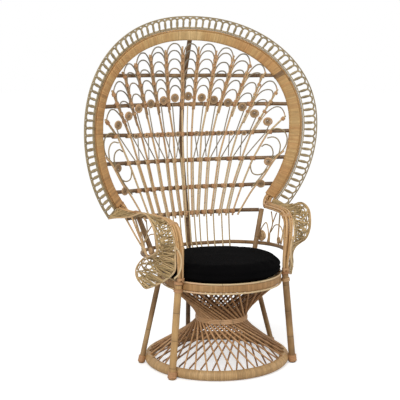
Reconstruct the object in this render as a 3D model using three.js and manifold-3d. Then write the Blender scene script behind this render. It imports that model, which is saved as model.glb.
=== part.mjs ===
// Peacock chair: a tall rattan armchair with a wide dished fan back, on a twisted hourglass base.
// Millimetres, +Z up. The sitter faces -Y and the chair is symmetric about the plane x = 0.
// The origin is on the floor, under the middle of the whole chair.

import * as THREE from 'three';
import { mergeVertices } from 'three/addons/utils/BufferGeometryUtils.js';
import Module from 'manifold-3d';

const wasm = await Module();
wasm.setup();

// Overall sizes
const overallHeight = 1500;
const fanHalfWidth = 556;
const seatHeight = 405;
const armHeight = 655;

// Clearances between pieces that touch
const touchGap = 0.3;
const bentTouchGap = 0.9;
const weldDistance = 0.0005;
const longestRun = 75;

// Outline of the fan: a full round top above the widest height, an ellipse below it. Heights in
// the back are shares that run from 0 at the seat, past the arms, to the band's inner edge at the
// top. Places across it are shares too, that reach the band's inner edge at the widest height.
const rimEndShare = 0.20603;
const armHeightShare = 0.22831;
const fanWidestShare = 0.54338;
const fieldTopShare = 0.90356;
const fieldSideShare = 0.81007;
const fanTopPower = 2.15;
const rimEndAngle = THREE.MathUtils.degToRad(38);

// Dish of the fan: how far it lies behind the seat at its widest height, leans, bows and wraps
// forward
const fanBehindSeat = 110;
const fanLean = 18;
const fanBow = 57;
const fanWrap = 223;

// Rim, from the edge inwards: openwork lace, edge cane, wrapped band
const laceWidth = 57;
const laceThickness = 6;
const laceLoopPitch = 32;
const laceHoleInset = 15;
const laceHoleMargin = 9;
const laceBarWidth = 9;
const edgeCaneDiameter = 8;
const bandWidth = 40;
const bandThickness = 16;

// Back members
const rungDiameter = 18;
const stakeWidth = 9;
const stakeThickness = 7;
const rosetteCaneWidth = 7;
const archCaneDiameter = 5.4;
const bundleWidth = 15;
const spineDiameter = 22;

// Base and seat
const baseRingDiameter = 42;
const baseRingSides = 8;
const baseRingOuterRadius = 316;
const seatSetForward = 48;
const seatRingOuterRadius = 258;
const seatRingThickness = 24;
const seatBandHeight = 32;
const seatCaneDiameter = 6;
const waistHeight = 205;
const waistRadius = 103;
const waistBindingHeight = 12;
const strandDiameter = 6.5;
const strandCrossingGap = 3;
const strandSlope = THREE.MathUtils.degToRad(50);
const strandCount = 36;
const strandTwist = THREE.MathUtils.degToRad(58);
const deckThickness = 8;
const cushionSetIn = 4;
const cushionThickness = 79;
const cushionEdgeRound = 26;
const cushionDrawnIn = 5;
const cushionSeamGap = 9;
const cushionCrown = 9;

// Poles that stand on the floor
const frontLegDiameter = 30;
const sidePoleDiameter = 23;
const frontFootAngle = THREE.MathUtils.degToRad(58);
const frontLegTopAngle = THREE.MathUtils.degToRad(64.5);
const sideFootAngle = THREE.MathUtils.degToRad(105.4);
const sidePoleSeatAngle = THREE.MathUtils.degToRad(124);

// Arms. Their places across follow the seat at the front and the fan at the back.
const armEndRun = 8;
const armReachPerSeatRadius = 2.155;
const armFrontShare = 0.2;
const armBraceDiameter = 9;
const sidePoleTopDrop = 27.5;
const infillCaneDiameter = 6;
const infillFootRise = 1.2;

// Worked-out sizes
const fanBack = seatRingOuterRadius - seatSetForward + fanBehindSeat;
const armRise = armHeight - seatHeight;
const cushionRadius = seatRingOuterRadius - cushionSetIn;
const bandInset = laceWidth + edgeCaneDiameter + 2 * touchGap + bandWidth / 2;
const bandInnerInset = bandInset + bandWidth / 2;
const fieldTop = overallHeight - bandInnerInset;
const fieldReach = (fanHalfWidth - bandInnerInset) / fieldSideShare;
const fieldRise = (fieldTop - armHeight) / (fieldTopShare - armHeightShare);
const edgeCaneInset = laceWidth + touchGap + edgeCaneDiameter / 2;
const rungDepth = -(bandThickness / 2 + bentTouchGap + rungDiameter / 2);
const stakeDepth = rungDepth + rungDiameter / 2 + bentTouchGap + stakeThickness / 2;
const archDepth = stakeDepth + stakeThickness / 2 + bentTouchGap + archCaneDiameter / 2;
const spineDepth = rungDepth - rungDiameter / 2 - bentTouchGap - spineDiameter / 2;
const baseRingRadius = baseRingOuterRadius - baseRingDiameter / 2;
const baseRingFlatHalf = (baseRingDiameter / 2) * Math.tan(Math.PI / baseRingSides);
const seatBandTop = seatHeight - seatCaneDiameter - touchGap;
const seatBandBottom = seatBandTop - seatBandHeight;
const seatRingInnerRadius = seatRingOuterRadius - seatRingThickness;
const strandLayerGap = (strandDiameter + strandCrossingGap) / Math.cos(strandTwist / 2);
const strandTopRadius = seatRingOuterRadius - seatCaneDiameter - strandDiameter / 2 - 2 * bentTouchGap;

const rungShares = [
  { name: 'rung_1', height: 0.7607, half: 0.735, sag: 0 },
  { name: 'rung_2', height: 0.6411, half: 0.84, sag: 0 },
  { name: 'rung_3', height: 0.5297, half: 0.855, sag: 0.0137 },
  { name: 'rung_4', height: 0.4155, half: 0.82, sag: 0.009 },
  { name: 'rung_5', height: 0.3005, half: 0.72, sag: 0.0085 },
  { name: 'rung_6', height: 0.189, half: 0.59, sag: 0.005 },
];

// Each stake's places across at the heights below, from its lower end up, and then its top as
// place across and height. The outer stakes stop below the first rungs.
const stakeHeightShares = [0.167, 0.189, 0.2968, 0.4091, 0.516, 0.6411, 0.7607];
const stakeShares = [
  { across: [0.027, 0.027, 0.032, 0.036, 0.04, 0.05, 0.061], top: [0.072, 0.8785] },
  { across: [0.068, 0.072, 0.094, 0.112, 0.126, 0.174, 0.201], top: [0.225, 0.863] },
  { across: [0.128, 0.135, 0.158, 0.18, 0.219, 0.277, 0.336], top: [0.369, 0.843] },
  { across: [0.187, 0.194, 0.234, 0.27, 0.327, 0.398, 0.471], top: [0.505, 0.8085] },
  { across: [0.256, 0.264, 0.315, 0.365, 0.426, 0.527, 0.603], top: [0.626, 0.7735] },
  { across: [0.314, 0.324, 0.383, 0.459, 0.531, 0.662], top: [0.72, 0.703] },
  { across: [0.368, 0.378, 0.459, 0.549, 0.656], top: [0.785, 0.591] },
];

// Rosettes fit between the stakes, so their sizes are shares of the field's reach too.
const rosetteSizeShare = 0.0701;
const sideRosetteSizeShare = 0.0647;

// Centre of each rosette as place across and height; the first is on the centre line.
const rosetteShares = [
  [0, 0.6749],
  [0.119, 0.6685],
  [0.223, 0.6584],
  [0.342, 0.6466],
  [0.457, 0.6283],
  [0.554, 0.6],
  [0.656, 0.5662],
];

// Tops of the feather arches in each column between two stakes, from the centre outwards.
const archTopShares = [
  [0.892, 0.864, 0.83, 0.792, 0.755, 0.722],
  [0.892, 0.864, 0.83, 0.792, 0.755, 0.722],
  [0.8767, 0.8548, 0.8174, 0.7817, 0.7461, 0.7114],
  [0.852, 0.8237, 0.7854, 0.7425, 0.7041],
  [0.8091, 0.7744, 0.7333, 0.6895],
  [0.7397, 0.704, 0.662],
  [0.632],
];
const archRiseShare = 0.046;
const bundleTailShare = 0.01;
const archStepCount = 4;

// The lower runs of the rosette canes, as heights, and how far they gather at the seat.
const lowerCaneHeightShares = [0.055, 0.189, 0.2968, 0.4091];
const seatGatherShare = 0.8;

// Scroll work between the outermost stakes and the band, as place across and height.
const scrollShares = {
  diagonal: [[0.778, 0.4425], [0.719, 0.411], [0.6205, 0.3288], [0.545, 0.2804], [0.4406, 0.1945],
    [0.41, 0.169]],
  outerArch: [[0.734, 0.418], [0.748, 0.445], [0.75, 0.47], [0.728, 0.4932], [0.698, 0.5005],
    [0.655, 0.4959]],
  innerArch: [[0.6627, 0.3955], [0.68, 0.4046], [0.692, 0.4384], [0.674, 0.4612], [0.6385, 0.4685],
    [0.6133, 0.4594]],
  loop: [[0.64, 0.348], [0.61, 0.3425], [0.575, 0.3388], [0.545, 0.3452], [0.527, 0.3571]],
  rosettes: [[0.6627, 0.3955], [0.602, 0.3014]],
  rosetteTie: [[0.6903, 0.387], [0.6627, 0.3955]],
};

// Where the spine pole comes in behind the back, and the height of its bent-in top.
const spineLowShare = 0.055;
const spineTopShare = 0.915;

// Points of the right arm: x as a share of the arm's reach, y as a share of the seat ring's
// radius from the seat's centre, or past 1 of the way on to the fan, z as a share of the arm's
// rise above the seat. The band narrows down the front post.
const armBandShares = [
  { at: [0.62, 0.93, 1], facing: [-0.6, -0.6, 0.6], width: 1 },
  { at: [0.585, 0.78, 0.98], facing: [-0.5, -0.2, 0.9], width: 1 },
  { at: [0.554, 0.58, 0.98], facing: [-0.4, 0, 0.9], width: 1 },
  { at: [0.51, 0.05, 1], facing: [-0.35, 0, 0.9], width: 1 },
  { at: [0.482, -0.29, 0.98], facing: [-0.3, -0.3, 0.9], width: 1 },
  { at: [0.463, -0.47, 0.87], facing: [-0.2, -0.8, 0.5], width: 1 },
  { at: [0.446, -0.53, 0.55], facing: [-0.2, -1, 0], width: 0.95 },
  { at: [0.437, -0.504, 0.2], facing: [-0.2, -1, 0], width: 0.75 },
  { at: [0.437, -0.504, 0], facing: [-0.2, -1, 0], width: 0.7 },
];
const armLaceInnerShares = [
  [0.64, 0.75, 0.98],
  [0.6, 0.5, 0.98],
  [0.56, 0.02, 1.01],
  [0.532, -0.32, 0.98],
  [0.518, -0.5, 0.84],
  [0.507, -0.56, 0.62],
  [0.495, -0.5, 0.42],
  [0.4975, -0.4446, 0.2],
  [0.539, -0.256, 0.015],
  [0.58, -0.1, -0.1],
  [0.614, 0.02, -0.18],
];
const armLaceOuterShares = [
  [0.765, 0.6, 0.94],
  [0.71, 0.28, 0.99],
  [0.668, -0.2, 1.12],
  [0.66, -0.455, 1.02],
  [0.64, -0.56, 0.75],
  [0.624, -0.5, 0.56],
  [0.625, -0.26, 0.43],
  [0.644, 0.05, 0.32],
  [0.673, 0.178, 0.144],
  [0.673, 0.16, 0],
  [0.632, 0.06, -0.16],
];
const armLaceBraceShares = { from: 0.2, to: 0.68, across: 0.96 };
const armLaceRowShares = [0, 0.14, 0.43, 0.57, 0.86, 1];
const armLaceBarShare = 0.16;
const hoopRungShares = [
  [0, 1.746, 0.24],
  [0.2, 1.668, 0.24],
  [0.36, 1.497, 0.24],
  [0.471, 0.98, 0.25],
  [0.54, 0.61, 0.275],
  [0.549, 0.19, 0.3],
  [0.504, -0.2, 0.325],
  [0.4425, -0.457, 0.35],
];
const sidePoleTopShare = [0.54, 0.8, 1];

// Filling between the hoop rung and the arm: place along both, from the back, and height.
const infillShares = {
  archOne: [[0.1, 0], [0.11, 0.3], [0.2, 0.56], [0.27, 0.35], [0.285, 0]],
  stem: [[0.285, 0], [0.31, 0.3], [0.36, 0.58], [0.33, 0.93]],
  fork: [[0.36, 0.58], [0.45, 0.93]],
  archTwo: [[0.32, 0.3], [0.42, 0.55], [0.58, 0.55], [0.68, 0.3], [0.7, 0]],
};

// Numbers of steps along curved members
const rimSteps = 60;
const rungSteps = 16;
const scrollSteps = 6;
const hoopRungSteps = 28;
const armLaceSteps = 12;
const infillSteps = 5;
const ringSegments = 36;

// Colours of the pieces
const goldenCane = new THREE.Color(0.68, 0.47, 0.25);
const brownPole = new THREE.Color(0.33, 0.2, 0.1);
const paleCane = new THREE.Color(0.7, 0.58, 0.4);
const greyCane = new THREE.Color(0.55, 0.47, 0.36);
const reddishCane = new THREE.Color(0.55, 0.35, 0.2);
const blackCloth = new THREE.Color(0.012, 0.012, 0.014);

const chair = new THREE.Group();

function addPiece(name, geometry, color, roughness) {
  const material = new THREE.MeshStandardMaterial({ color, roughness, metalness: 0 });
  const mesh = new THREE.Mesh(geometry, material);
  mesh.name = name;
  chair.add(mesh);
}

// Only the corners of a geometry, with the shared ones merged.
function weld(geometry) {
  const bare = new THREE.BufferGeometry();
  bare.setAttribute('position', geometry.getAttribute('position').clone());
  if (geometry.index) {
    bare.setIndex(geometry.index.clone());
  }
  return mergeVertices(bare, weldDistance);
}

function toSolid(geometry) {
  const welded = weld(geometry);
  return new wasm.Manifold(new wasm.Mesh({
    numProp: 3,
    vertProperties: new Float32Array(welded.getAttribute('position').array),
    triVerts: new Uint32Array(welded.index.array),
  }));
}

function fuse(geometries) {
  let solid = toSolid(geometries[0]);
  for (const geometry of geometries.slice(1)) {
    solid = solid.add(toSolid(geometry));
  }
  const mesh = solid.getMesh();
  const fused = new THREE.BufferGeometry();
  fused.setAttribute('position', new THREE.BufferAttribute(mesh.vertProperties, 3));
  fused.setIndex(new THREE.BufferAttribute(mesh.triVerts, 1));
  return fused;
}

// Moves every corner of a geometry by a function from point to point.
function reshape(geometry, move) {
  const position = geometry.getAttribute('position');
  const point = new THREE.Vector3();
  for (let i = 0; i < position.count; i += 1) {
    point.fromBufferAttribute(position, i);
    const moved = move(point);
    position.setXYZ(i, moved.x, moved.y, moved.z);
  }
  return geometry;
}

function mirrored(geometry) {
  const copy = weld(geometry);
  reshape(copy, (point) => new THREE.Vector3(-point.x, point.y, point.z));
  const index = copy.index.array;
  for (let i = 0; i < index.length; i += 3) {
    [index[i], index[i + 1]] = [index[i + 1], index[i]];
  }
  return copy;
}

// An oval section with its corners at the ends of both axes.
function ovalSection(width, thickness, sides) {
  const points = [];
  for (let i = 0; i < sides; i += 1) {
    const angle = Math.PI / 2 + (2 * Math.PI * i) / sides;
    points.push(new THREE.Vector2((width / 2) * Math.cos(angle), (thickness / 2) * Math.sin(angle)));
  }
  return new THREE.Shape(points);
}

function flatSection(width, thickness) {
  return new THREE.Shape([
    new THREE.Vector2(-width / 2, -thickness / 2),
    new THREE.Vector2(width / 2, -thickness / 2),
    new THREE.Vector2(width / 2, thickness / 2),
    new THREE.Vector2(-width / 2, thickness / 2),
  ]);
}

// Carries a section along a list of points. The section's second axis follows the facing
// direction of each point, so that flat members don't twist. The end cuts are square to the
// member unless their directions are given, and the section may be narrowed at any point.
function sweep(section, points, facings, { endDirections = [], widthShares = [] } = {}) {
  const steps = points.length - 1;
  const frames = points.map((point, i) => {
    const before = points[Math.max(i - 1, 0)];
    const after = points[Math.min(i + 1, steps)];
    const given = i === 0 ? endDirections[0] : i === steps && endDirections[1];
    const along = given ? given.clone() : after.clone().sub(before).normalize();
    const facing = facings[i].clone().addScaledVector(along, -facings[i].dot(along)).normalize();
    const across = facing.clone().cross(along).multiplyScalar(widthShares[i] ?? 1);
    return { point, across, facing };
  });
  const geometry = new THREE.ExtrudeGeometry(section, { depth: 1, steps, bevelEnabled: false });
  return reshape(geometry, (corner) => {
    const frame = frames[Math.round(corner.z * steps)];
    return frame.point.clone()
      .addScaledVector(frame.across, corner.x)
      .addScaledVector(frame.facing, corner.y);
  });
}

// What lies below the arms keeps to the seat and the arms, and what lies above them to the top.
function heightAt(share) {
  return share < armHeightShare
    ? THREE.MathUtils.mapLinear(share, 0, armHeightShare, seatHeight, armHeight)
    : armHeight + (share - armHeightShare) * fieldRise;
}

function shareAt(height) {
  return height < armHeight
    ? THREE.MathUtils.mapLinear(height, seatHeight, armHeight, 0, armHeightShare)
    : armHeightShare + (height - armHeight) / fieldRise;
}

function acrossAt(share) {
  return share * fieldReach;
}

const fanWidestHeight = heightAt(fanWidestShare);
const fanTopHalf = overallHeight - fanWidestHeight;
const fanLowerReach = (fanWidestHeight - heightAt(rimEndShare)) / Math.sin(rimEndAngle);

// The dished back. Pieces are laid out flat as (across, height, depth towards the sitter).
function fanSurface(x, z) {
  const rise = (shareAt(z) - fanWidestShare) / (1 - fanWidestShare);
  const out = x / fanHalfWidth;
  return fanBack - fanLean * rise - fanBow * rise * rise - fanWrap * out * out;
}

function dish(point) {
  return new THREE.Vector3(point.x, fanSurface(point.x, point.y) - point.z, point.y);
}

const towardsSitter = new THREE.Vector3(0, 0, 1);

function sweepInFan(section, points, endDirections) {
  const facings = points.map(() => towardsSitter);
  return reshape(sweep(section, points, facings, { endDirections }), dish);
}

// Adds points to a flat line, so that no run of it is too long to follow the dish.
function withShortRuns(points) {
  const line = [points[0]];
  points.slice(1).forEach((point, i) => {
    const runs = Math.ceil(point.distanceTo(points[i]) / longestRun);
    for (let run = 1; run <= runs; run += 1) {
      line.push(points[i].clone().lerp(point, run / runs));
    }
  });
  return line;
}

// The outer edge of the fan from its lower right end over the top to its lower left end.
class RimCurve extends THREE.Curve {
  getPoint(share, target = new THREE.Vector3()) {
    const angle = -rimEndAngle + share * (Math.PI + 2 * rimEndAngle);
    const cosine = Math.cos(angle);
    const sine = Math.sin(angle);
    const power = sine > 0 ? 2 / fanTopPower : 1;
    const rise = sine > 0 ? fanTopHalf : fanLowerReach;
    return target.set(
      fanHalfWidth * Math.sign(cosine) * Math.abs(cosine) ** power,
      fanWidestHeight + rise * Math.sign(sine) * Math.abs(sine) ** power,
      0,
    );
  }
}

const rim = new RimCurve();
rim.arcLengthDivisions = 800;
const rimLength = rim.getLength();

function rimPoint(share, inset, depth) {
  const point = rim.getPointAt(share);
  const tangent = rim.getTangentAt(share);
  return new THREE.Vector3(point.x - tangent.y * inset, point.y + tangent.x * inset, depth);
}

function rimLine(inset, depth, count) {
  const points = [];
  for (let i = 0; i <= count; i += 1) {
    points.push(rimPoint(i / count, inset, depth));
  }
  return points;
}

function makeRim() {
  const ends = [rim.getTangentAt(0), rim.getTangentAt(1)];
  const bandLine = rimLine(bandInset, 0, rimSteps);
  const band = sweepInFan(flatSection(bandWidth, bandThickness), bandLine, ends);
  addPiece('fan_band', band, goldenCane, 0.55);
  const cane = sweepInFan(
    ovalSection(edgeCaneDiameter, edgeCaneDiameter, 4),
    rimLine(edgeCaneInset, 0, rimSteps),
  );
  addPiece('band_edge_cane', cane, brownPole, 0.5);
}

// An openwork sheet on a grid of columns and rows, given as shares of its length and width.
// place() puts each corner, with its layer from -1/2 to 1/2, where it belongs.
function openwork(columns, rows, isOpen, place) {
  const corners = columns.flatMap((along) => (
    rows.flatMap((across) => [place(along, across, -1 / 2), place(along, across, 1 / 2)])
  ));
  const at = ([column, row], layer) => (column * rows.length + row) * 2 + layer;
  const isSolid = (column, row) => (
    column >= 0 && column < columns.length - 1
    && row >= 0 && row < rows.length - 1 && !isOpen(column, row)
  );
  const faces = [];
  const quad = (a, b, c, d) => faces.push(a, b, c, a, c, d);
  for (let column = 0; column < columns.length - 1; column += 1) {
    for (let row = 0; row < rows.length - 1; row += 1) {
      if (isSolid(column, row)) {
        const [a, b] = [[column, row], [column + 1, row]];
        const [c, d] = [[column + 1, row + 1], [column, row + 1]];
        quad(at(a, 1), at(b, 1), at(c, 1), at(d, 1));
        quad(at(a, 0), at(d, 0), at(c, 0), at(b, 0));
        const sides = [[a, b, 0, -1], [b, c, 1, 0], [c, d, 0, 1], [d, a, -1, 0]];
        for (const [from, to, columnStep, rowStep] of sides) {
          if (!isSolid(column + columnStep, row + rowStep)) {
            quad(at(from, 0), at(to, 0), at(to, 1), at(from, 1));
          }
        }
      }
    }
  }
  const sheet = new THREE.BufferGeometry().setFromPoints(corners);
  sheet.setIndex(faces);
  return sheet;
}

// Columns for bars at even distances with gaps between them. Bars have even numbers.
function barColumns(gaps, halfBar) {
  const columns = [0];
  for (let i = 0; i < gaps; i += 1) {
    columns.push(i / gaps + halfBar, (i + 1) / gaps - halfBar);
  }
  return [...columns, 1];
}

// The lace is a strip as long as the rim, with one opening between each pair of bars.
function makeRimLace() {
  const loops = Math.round(rimLength / laceLoopPitch);
  const columns = barColumns(loops, laceBarWidth / 2 / rimLength);
  const rows = [0, laceHoleInset / laceWidth, 1 - laceHoleMargin / laceWidth, 1];
  const isOpen = (column, row) => column % 2 === 1 && row === 1;
  const lace = openwork(columns, rows, isOpen, (along, across, layer) => (
    dish(rimPoint(along, across * laceWidth, layer * laceThickness))
  ));
  addPiece('rim_lace', lace, greyCane, 0.7);
}

function makeRungs() {
  const section = ovalSection(rungDiameter, rungDiameter, 6);
  for (const rung of rungShares) {
    const points = [];
    for (let i = 0; i <= rungSteps; i += 1) {
      const side = (2 * i) / rungSteps - 1;
      const height = heightAt(rung.height - rung.sag * (1 - side * side));
      points.push(new THREE.Vector3(-side * acrossAt(rung.half), height, rungDepth));
    }
    addPiece(rung.name, sweepInFan(section, points), brownPole, 0.5);
  }
}

// A stake's places as pairs of place across and height, from its lower end to its top.
function stakePlaces(index) {
  const { across, top } = stakeShares[index];
  return [...across.map((place, i) => [place, stakeHeightShares[i]]), top];
}

// Place across of a stake at any height, by straight runs.
function stakeAcross(index, height) {
  const places = stakePlaces(index);
  const next = places.findIndex((place) => height <= place[1]);
  if (next === 0) {
    return acrossAt(places[0][0]);
  }
  if (next < 0) {
    return acrossAt(places.at(-1)[0]);
  }
  const [from, to] = [places[next - 1], places[next]];
  const part = (height - from[1]) / (to[1] - from[1]);
  return acrossAt(THREE.MathUtils.lerp(from[0], to[0], part));
}

function makeStakes() {
  const section = ovalSection(stakeWidth, stakeThickness, 4);
  for (let index = 0; index < stakeShares.length; index += 1) {
    const points = stakePlaces(index).map(([across, height]) => (
      new THREE.Vector3(acrossAt(across), heightAt(height), stakeDepth)
    ));
    const stake = sweepInFan(section, withShortRuns(points));
    addPiece(`stake_left_${index}`, mirrored(stake), paleCane, 0.6);
    addPiece(`stake_right_${index}`, stake, paleCane, 0.6);
  }
}

function rosetteDisc(across, height, sizeShare) {
  const radius = acrossAt(sizeShare) / 2;
  const disc = new THREE.CylinderGeometry(radius, radius, stakeThickness, 8);
  disc.rotateX(Math.PI / 2);
  disc.translate(acrossAt(across), heightAt(height), stakeDepth);
  return reshape(disc, dish);
}

// A thinner cane runs beside each stake, crosses to the next one above the fourth rung and
// coils into a rosette. Its lower end comes forward to the seat ring.
function makeRosettes() {
  const section = ovalSection(rosetteCaneWidth, stakeThickness, 4);
  const beside = (stakeWidth + rosetteCaneWidth) / 2 + bentTouchGap;
  const crossingHeight = stakeHeightShares[4];
  rosetteShares.forEach(([across, height], index) => {
    const lowerPlace = (share) => (index === 0 ? 0 : stakeAcross(index - 1, share) + beside);
    const seatX = lowerPlace(lowerCaneHeightShares[0]) * seatGatherShare;
    const seatY = Math.sqrt(seatRingOuterRadius ** 2 - seatX ** 2) - seatSetForward;
    const seatZ = seatHeight + touchGap + stakeThickness / 2;
    const points = [new THREE.Vector3(seatX, seatZ, fanSurface(seatX, seatZ) - seatY)];
    for (const share of lowerCaneHeightShares) {
      points.push(new THREE.Vector3(lowerPlace(share), heightAt(share), stakeDepth));
    }
    if (index > 0) {
      const crossing = stakeAcross(index, crossingHeight) - beside;
      points.push(new THREE.Vector3(crossing, heightAt(crossingHeight), stakeDepth));
    }
    points.push(new THREE.Vector3(acrossAt(across), heightAt(height), stakeDepth));
    const cane = sweepInFan(section, withShortRuns(points));
    const disc = rosetteDisc(across, height, rosetteSizeShare);
    const piece = fuse([cane, disc]);
    if (index === 0) {
      addPiece('rosette_centre', piece, paleCane, 0.6);
    } else {
      addPiece(`rosette_left_${index}`, mirrored(piece), paleCane, 0.6);
      addPiece(`rosette_right_${index}`, piece, paleCane, 0.6);
    }
  });
}

// The lattice of arches counts its uprights and columns from the left edge of the fan.
const lastStake = stakeShares.length - 1;
const lastUpright = 2 * lastStake + 1;

function uprightPlace(upright, height, edge) {
  const across = upright > lastStake
    ? stakeAcross(upright - lastStake - 1, height)
    : -stakeAcross(lastStake - upright, height);
  return new THREE.Vector2(across + (edge * bundleWidth) / 2, heightAt(height));
}

function columnTops(column) {
  return archTopShares[Math.abs(column - lastStake)];
}

// One edge of an upright between two heights, with the bends between them.
function uprightEdge(upright, edge, low, high) {
  const bends = stakeHeightShares.filter((height) => height > low && height < high);
  return bends.map((height) => uprightPlace(upright, height, edge));
}

// Half an ellipse over a column, leaning with its uprights. The inner line of an arch lies one
// cane's thickness inside its outer line at the top, and meets the uprights below it.
function archLine(column, top, inset) {
  const rise = archRiseShare;
  const drop = inset / fieldRise;
  const points = [];
  for (let i = 0; i <= archStepCount; i += 1) {
    const angle = Math.PI * (1 - i / archStepCount);
    const height = top - rise - drop + rise * Math.sin(angle);
    const left = uprightPlace(column, height, 1);
    const right = uprightPlace(column + 1, height, -1);
    const half = (right.x - left.x) / 2 - inset * Math.sin(angle);
    points.push(new THREE.Vector2((left.x + right.x) / 2 + half * Math.cos(angle), left.y));
  }
  return points;
}

// Round-topped arches stand in columns between the stakes; their legs are bundled in front of
// the stakes, so that the whole lattice hangs together.
function makeFeathers() {
  const underside = [];
  const upperSide = [];
  const openings = [];
  for (let upright = 0; upright <= lastUpright; upright += 1) {
    const leftTops = upright > 0 ? columnTops(upright - 1) : [];
    const rightTops = upright < lastUpright ? columnTops(upright) : [];
    const lowest = Math.min(...leftTops.slice(-1), ...rightTops.slice(-1));
    const low = lowest - archRiseShare - bundleTailShare;
    const stake = upright > lastStake ? upright - lastStake - 1 : lastStake - upright;
    const high = stakeShares[stake].top[1];
    const leftFoot = upright > 0 ? leftTops[0] - archRiseShare : low;
    const rightFoot = upright < lastUpright ? rightTops[0] - archRiseShare : low;
    underside.push(uprightPlace(upright, low, -1), uprightPlace(upright, low, 1));
    upperSide.push(
      ...uprightEdge(upright, -1, leftFoot, high),
      uprightPlace(upright, high, -1),
      uprightPlace(upright, high, 1),
      ...uprightEdge(upright, 1, rightFoot, high).reverse(),
    );
    if (upright < lastUpright) {
      underside.push(...archLine(upright, rightTops.at(-1), archCaneDiameter));
      upperSide.push(...archLine(upright, rightTops[0], 0));
      rightTops.slice(1).forEach((lowerTop, i) => {
        openings.push(new THREE.Path([
          ...archLine(upright, lowerTop, 0),
          ...archLine(upright, rightTops[i], archCaneDiameter).reverse(),
        ]));
      });
    }
  }
  const outline = new THREE.Shape([...underside, ...upperSide.reverse()]);
  outline.holes = openings;
  const lattice = new THREE.ExtrudeGeometry(outline, {
    depth: archCaneDiameter, steps: 1, bevelEnabled: false,
  });
  lattice.translate(0, 0, archDepth - archCaneDiameter / 2);
  addPiece('feather_lattice', reshape(lattice, dish), greyCane, 0.65);
}

// Scrolls beside the outer stakes: a diagonal cane, two arches, a hanging loop and two rosettes,
// the upper one tied to the diagonal.
function makeScrolls() {
  const cane = (shares) => {
    const curve = new THREE.CatmullRomCurve3(shares.map(([across, height]) => (
      new THREE.Vector3(acrossAt(across), heightAt(height), stakeDepth)
    )));
    return curve.getPoints(scrollSteps);
  };
  const thin = ovalSection(archCaneDiameter, archCaneDiameter, 4);
  const thick = ovalSection(stakeWidth, stakeThickness, 4);
  const scroll = fuse([
    sweepInFan(thick, cane(scrollShares.diagonal)),
    sweepInFan(thin, cane(scrollShares.outerArch)),
    sweepInFan(thin, cane(scrollShares.innerArch)),
    sweepInFan(thin, cane(scrollShares.loop)),
    sweepInFan(thin, cane(scrollShares.rosetteTie)),
    ...scrollShares.rosettes.map(([across, height]) => (
      rosetteDisc(across, height, sideRosetteSizeShare)
    )),
  ]);
  addPiece('side_scroll_left', mirrored(scroll), paleCane, 0.6);
  addPiece('side_scroll_right', scroll, paleCane, 0.6);
}

function ringAround(profile, centreY) {
  const closed = [...profile, profile[0]].map(([r, z]) => new THREE.Vector2(r, z));
  const ring = new THREE.LatheGeometry(closed, ringSegments);
  ring.rotateX(Math.PI / 2);
  ring.translate(0, centreY, 0);
  return ring;
}

// A round section drawn as a polygon whose flats lie at the true diameter.
function roundProfile(radius, height, diameter, sides) {
  const cornerRadius = diameter / 2 / Math.cos(Math.PI / sides);
  const profile = [];
  for (let i = 0; i < sides; i += 1) {
    const angle = (2 * Math.PI * (i + 0.5)) / sides;
    profile.push([
      radius + cornerRadius * Math.cos(angle),
      height + cornerRadius * Math.sin(angle),
    ]);
  }
  return profile;
}

function boxProfile(inner, outer, low, high) {
  return [[outer, low], [outer, high], [inner, high], [inner, low]];
}

function makeBaseRing() {
  const profile = roundProfile(baseRingRadius, baseRingDiameter / 2, baseRingDiameter, baseRingSides);
  addPiece('base_ring', ringAround(profile, 0), goldenCane, 0.55);
}

function makeSeat() {
  const band = boxProfile(seatRingInnerRadius, seatRingOuterRadius, seatBandBottom, seatBandTop);
  addPiece('seat_ring', ringAround(band, -seatSetForward), goldenCane, 0.55);
  const caneRadius = seatRingOuterRadius - seatCaneDiameter / 2;
  const caneHeights = {
    seat_edge_cane_top: seatBandTop + touchGap + seatCaneDiameter / 2,
    seat_edge_cane_bottom: seatBandBottom - touchGap - seatCaneDiameter / 2,
  };
  for (const [name, height] of Object.entries(caneHeights)) {
    const profile = roundProfile(caneRadius, height, seatCaneDiameter, 4);
    addPiece(name, ringAround(profile, -seatSetForward), paleCane, 0.5);
  }
  const deckRadius = seatRingInnerRadius - touchGap;
  const deck = new THREE.CylinderGeometry(deckRadius, deckRadius, deckThickness, ringSegments);
  deck.rotateX(Math.PI / 2);
  deck.translate(0, -seatSetForward, seatBandTop - deckThickness / 2);
  addPiece('seat_deck', deck, greyCane, 0.8);
}

// A round pad with a crowned top and sides drawn in at the middle seam.
function makeCushion() {
  const low = seatBandTop + touchGap;
  const high = low + cushionThickness;
  const middle = (low + high) / 2;
  const round = cushionEdgeRound;
  const points = [
    [0, low],
    [cushionRadius - round, low],
    [cushionRadius - cushionDrawnIn, low + round / 2],
    [cushionRadius, middle - cushionSeamGap],
    [cushionRadius - cushionDrawnIn, middle],
    [cushionRadius, middle + cushionSeamGap],
    [cushionRadius - round / 3, high - round],
    [cushionRadius - round, high - round / 2],
    [cushionRadius / 2, high - cushionCrown / 2],
    [0, high],
  ].map(([radius, z]) => new THREE.Vector2(radius, z));
  const cushion = new THREE.LatheGeometry(points, ringSegments);
  cushion.rotateX(Math.PI / 2);
  cushion.translate(0, -seatSetForward, 0);
  addPiece('cushion', cushion, blackCloth, 0.95);
}

function onCircle(radius, angle, centreY, z) {
  return new THREE.Vector3(radius * Math.sin(angle), centreY - radius * Math.cos(angle), z);
}

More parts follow.
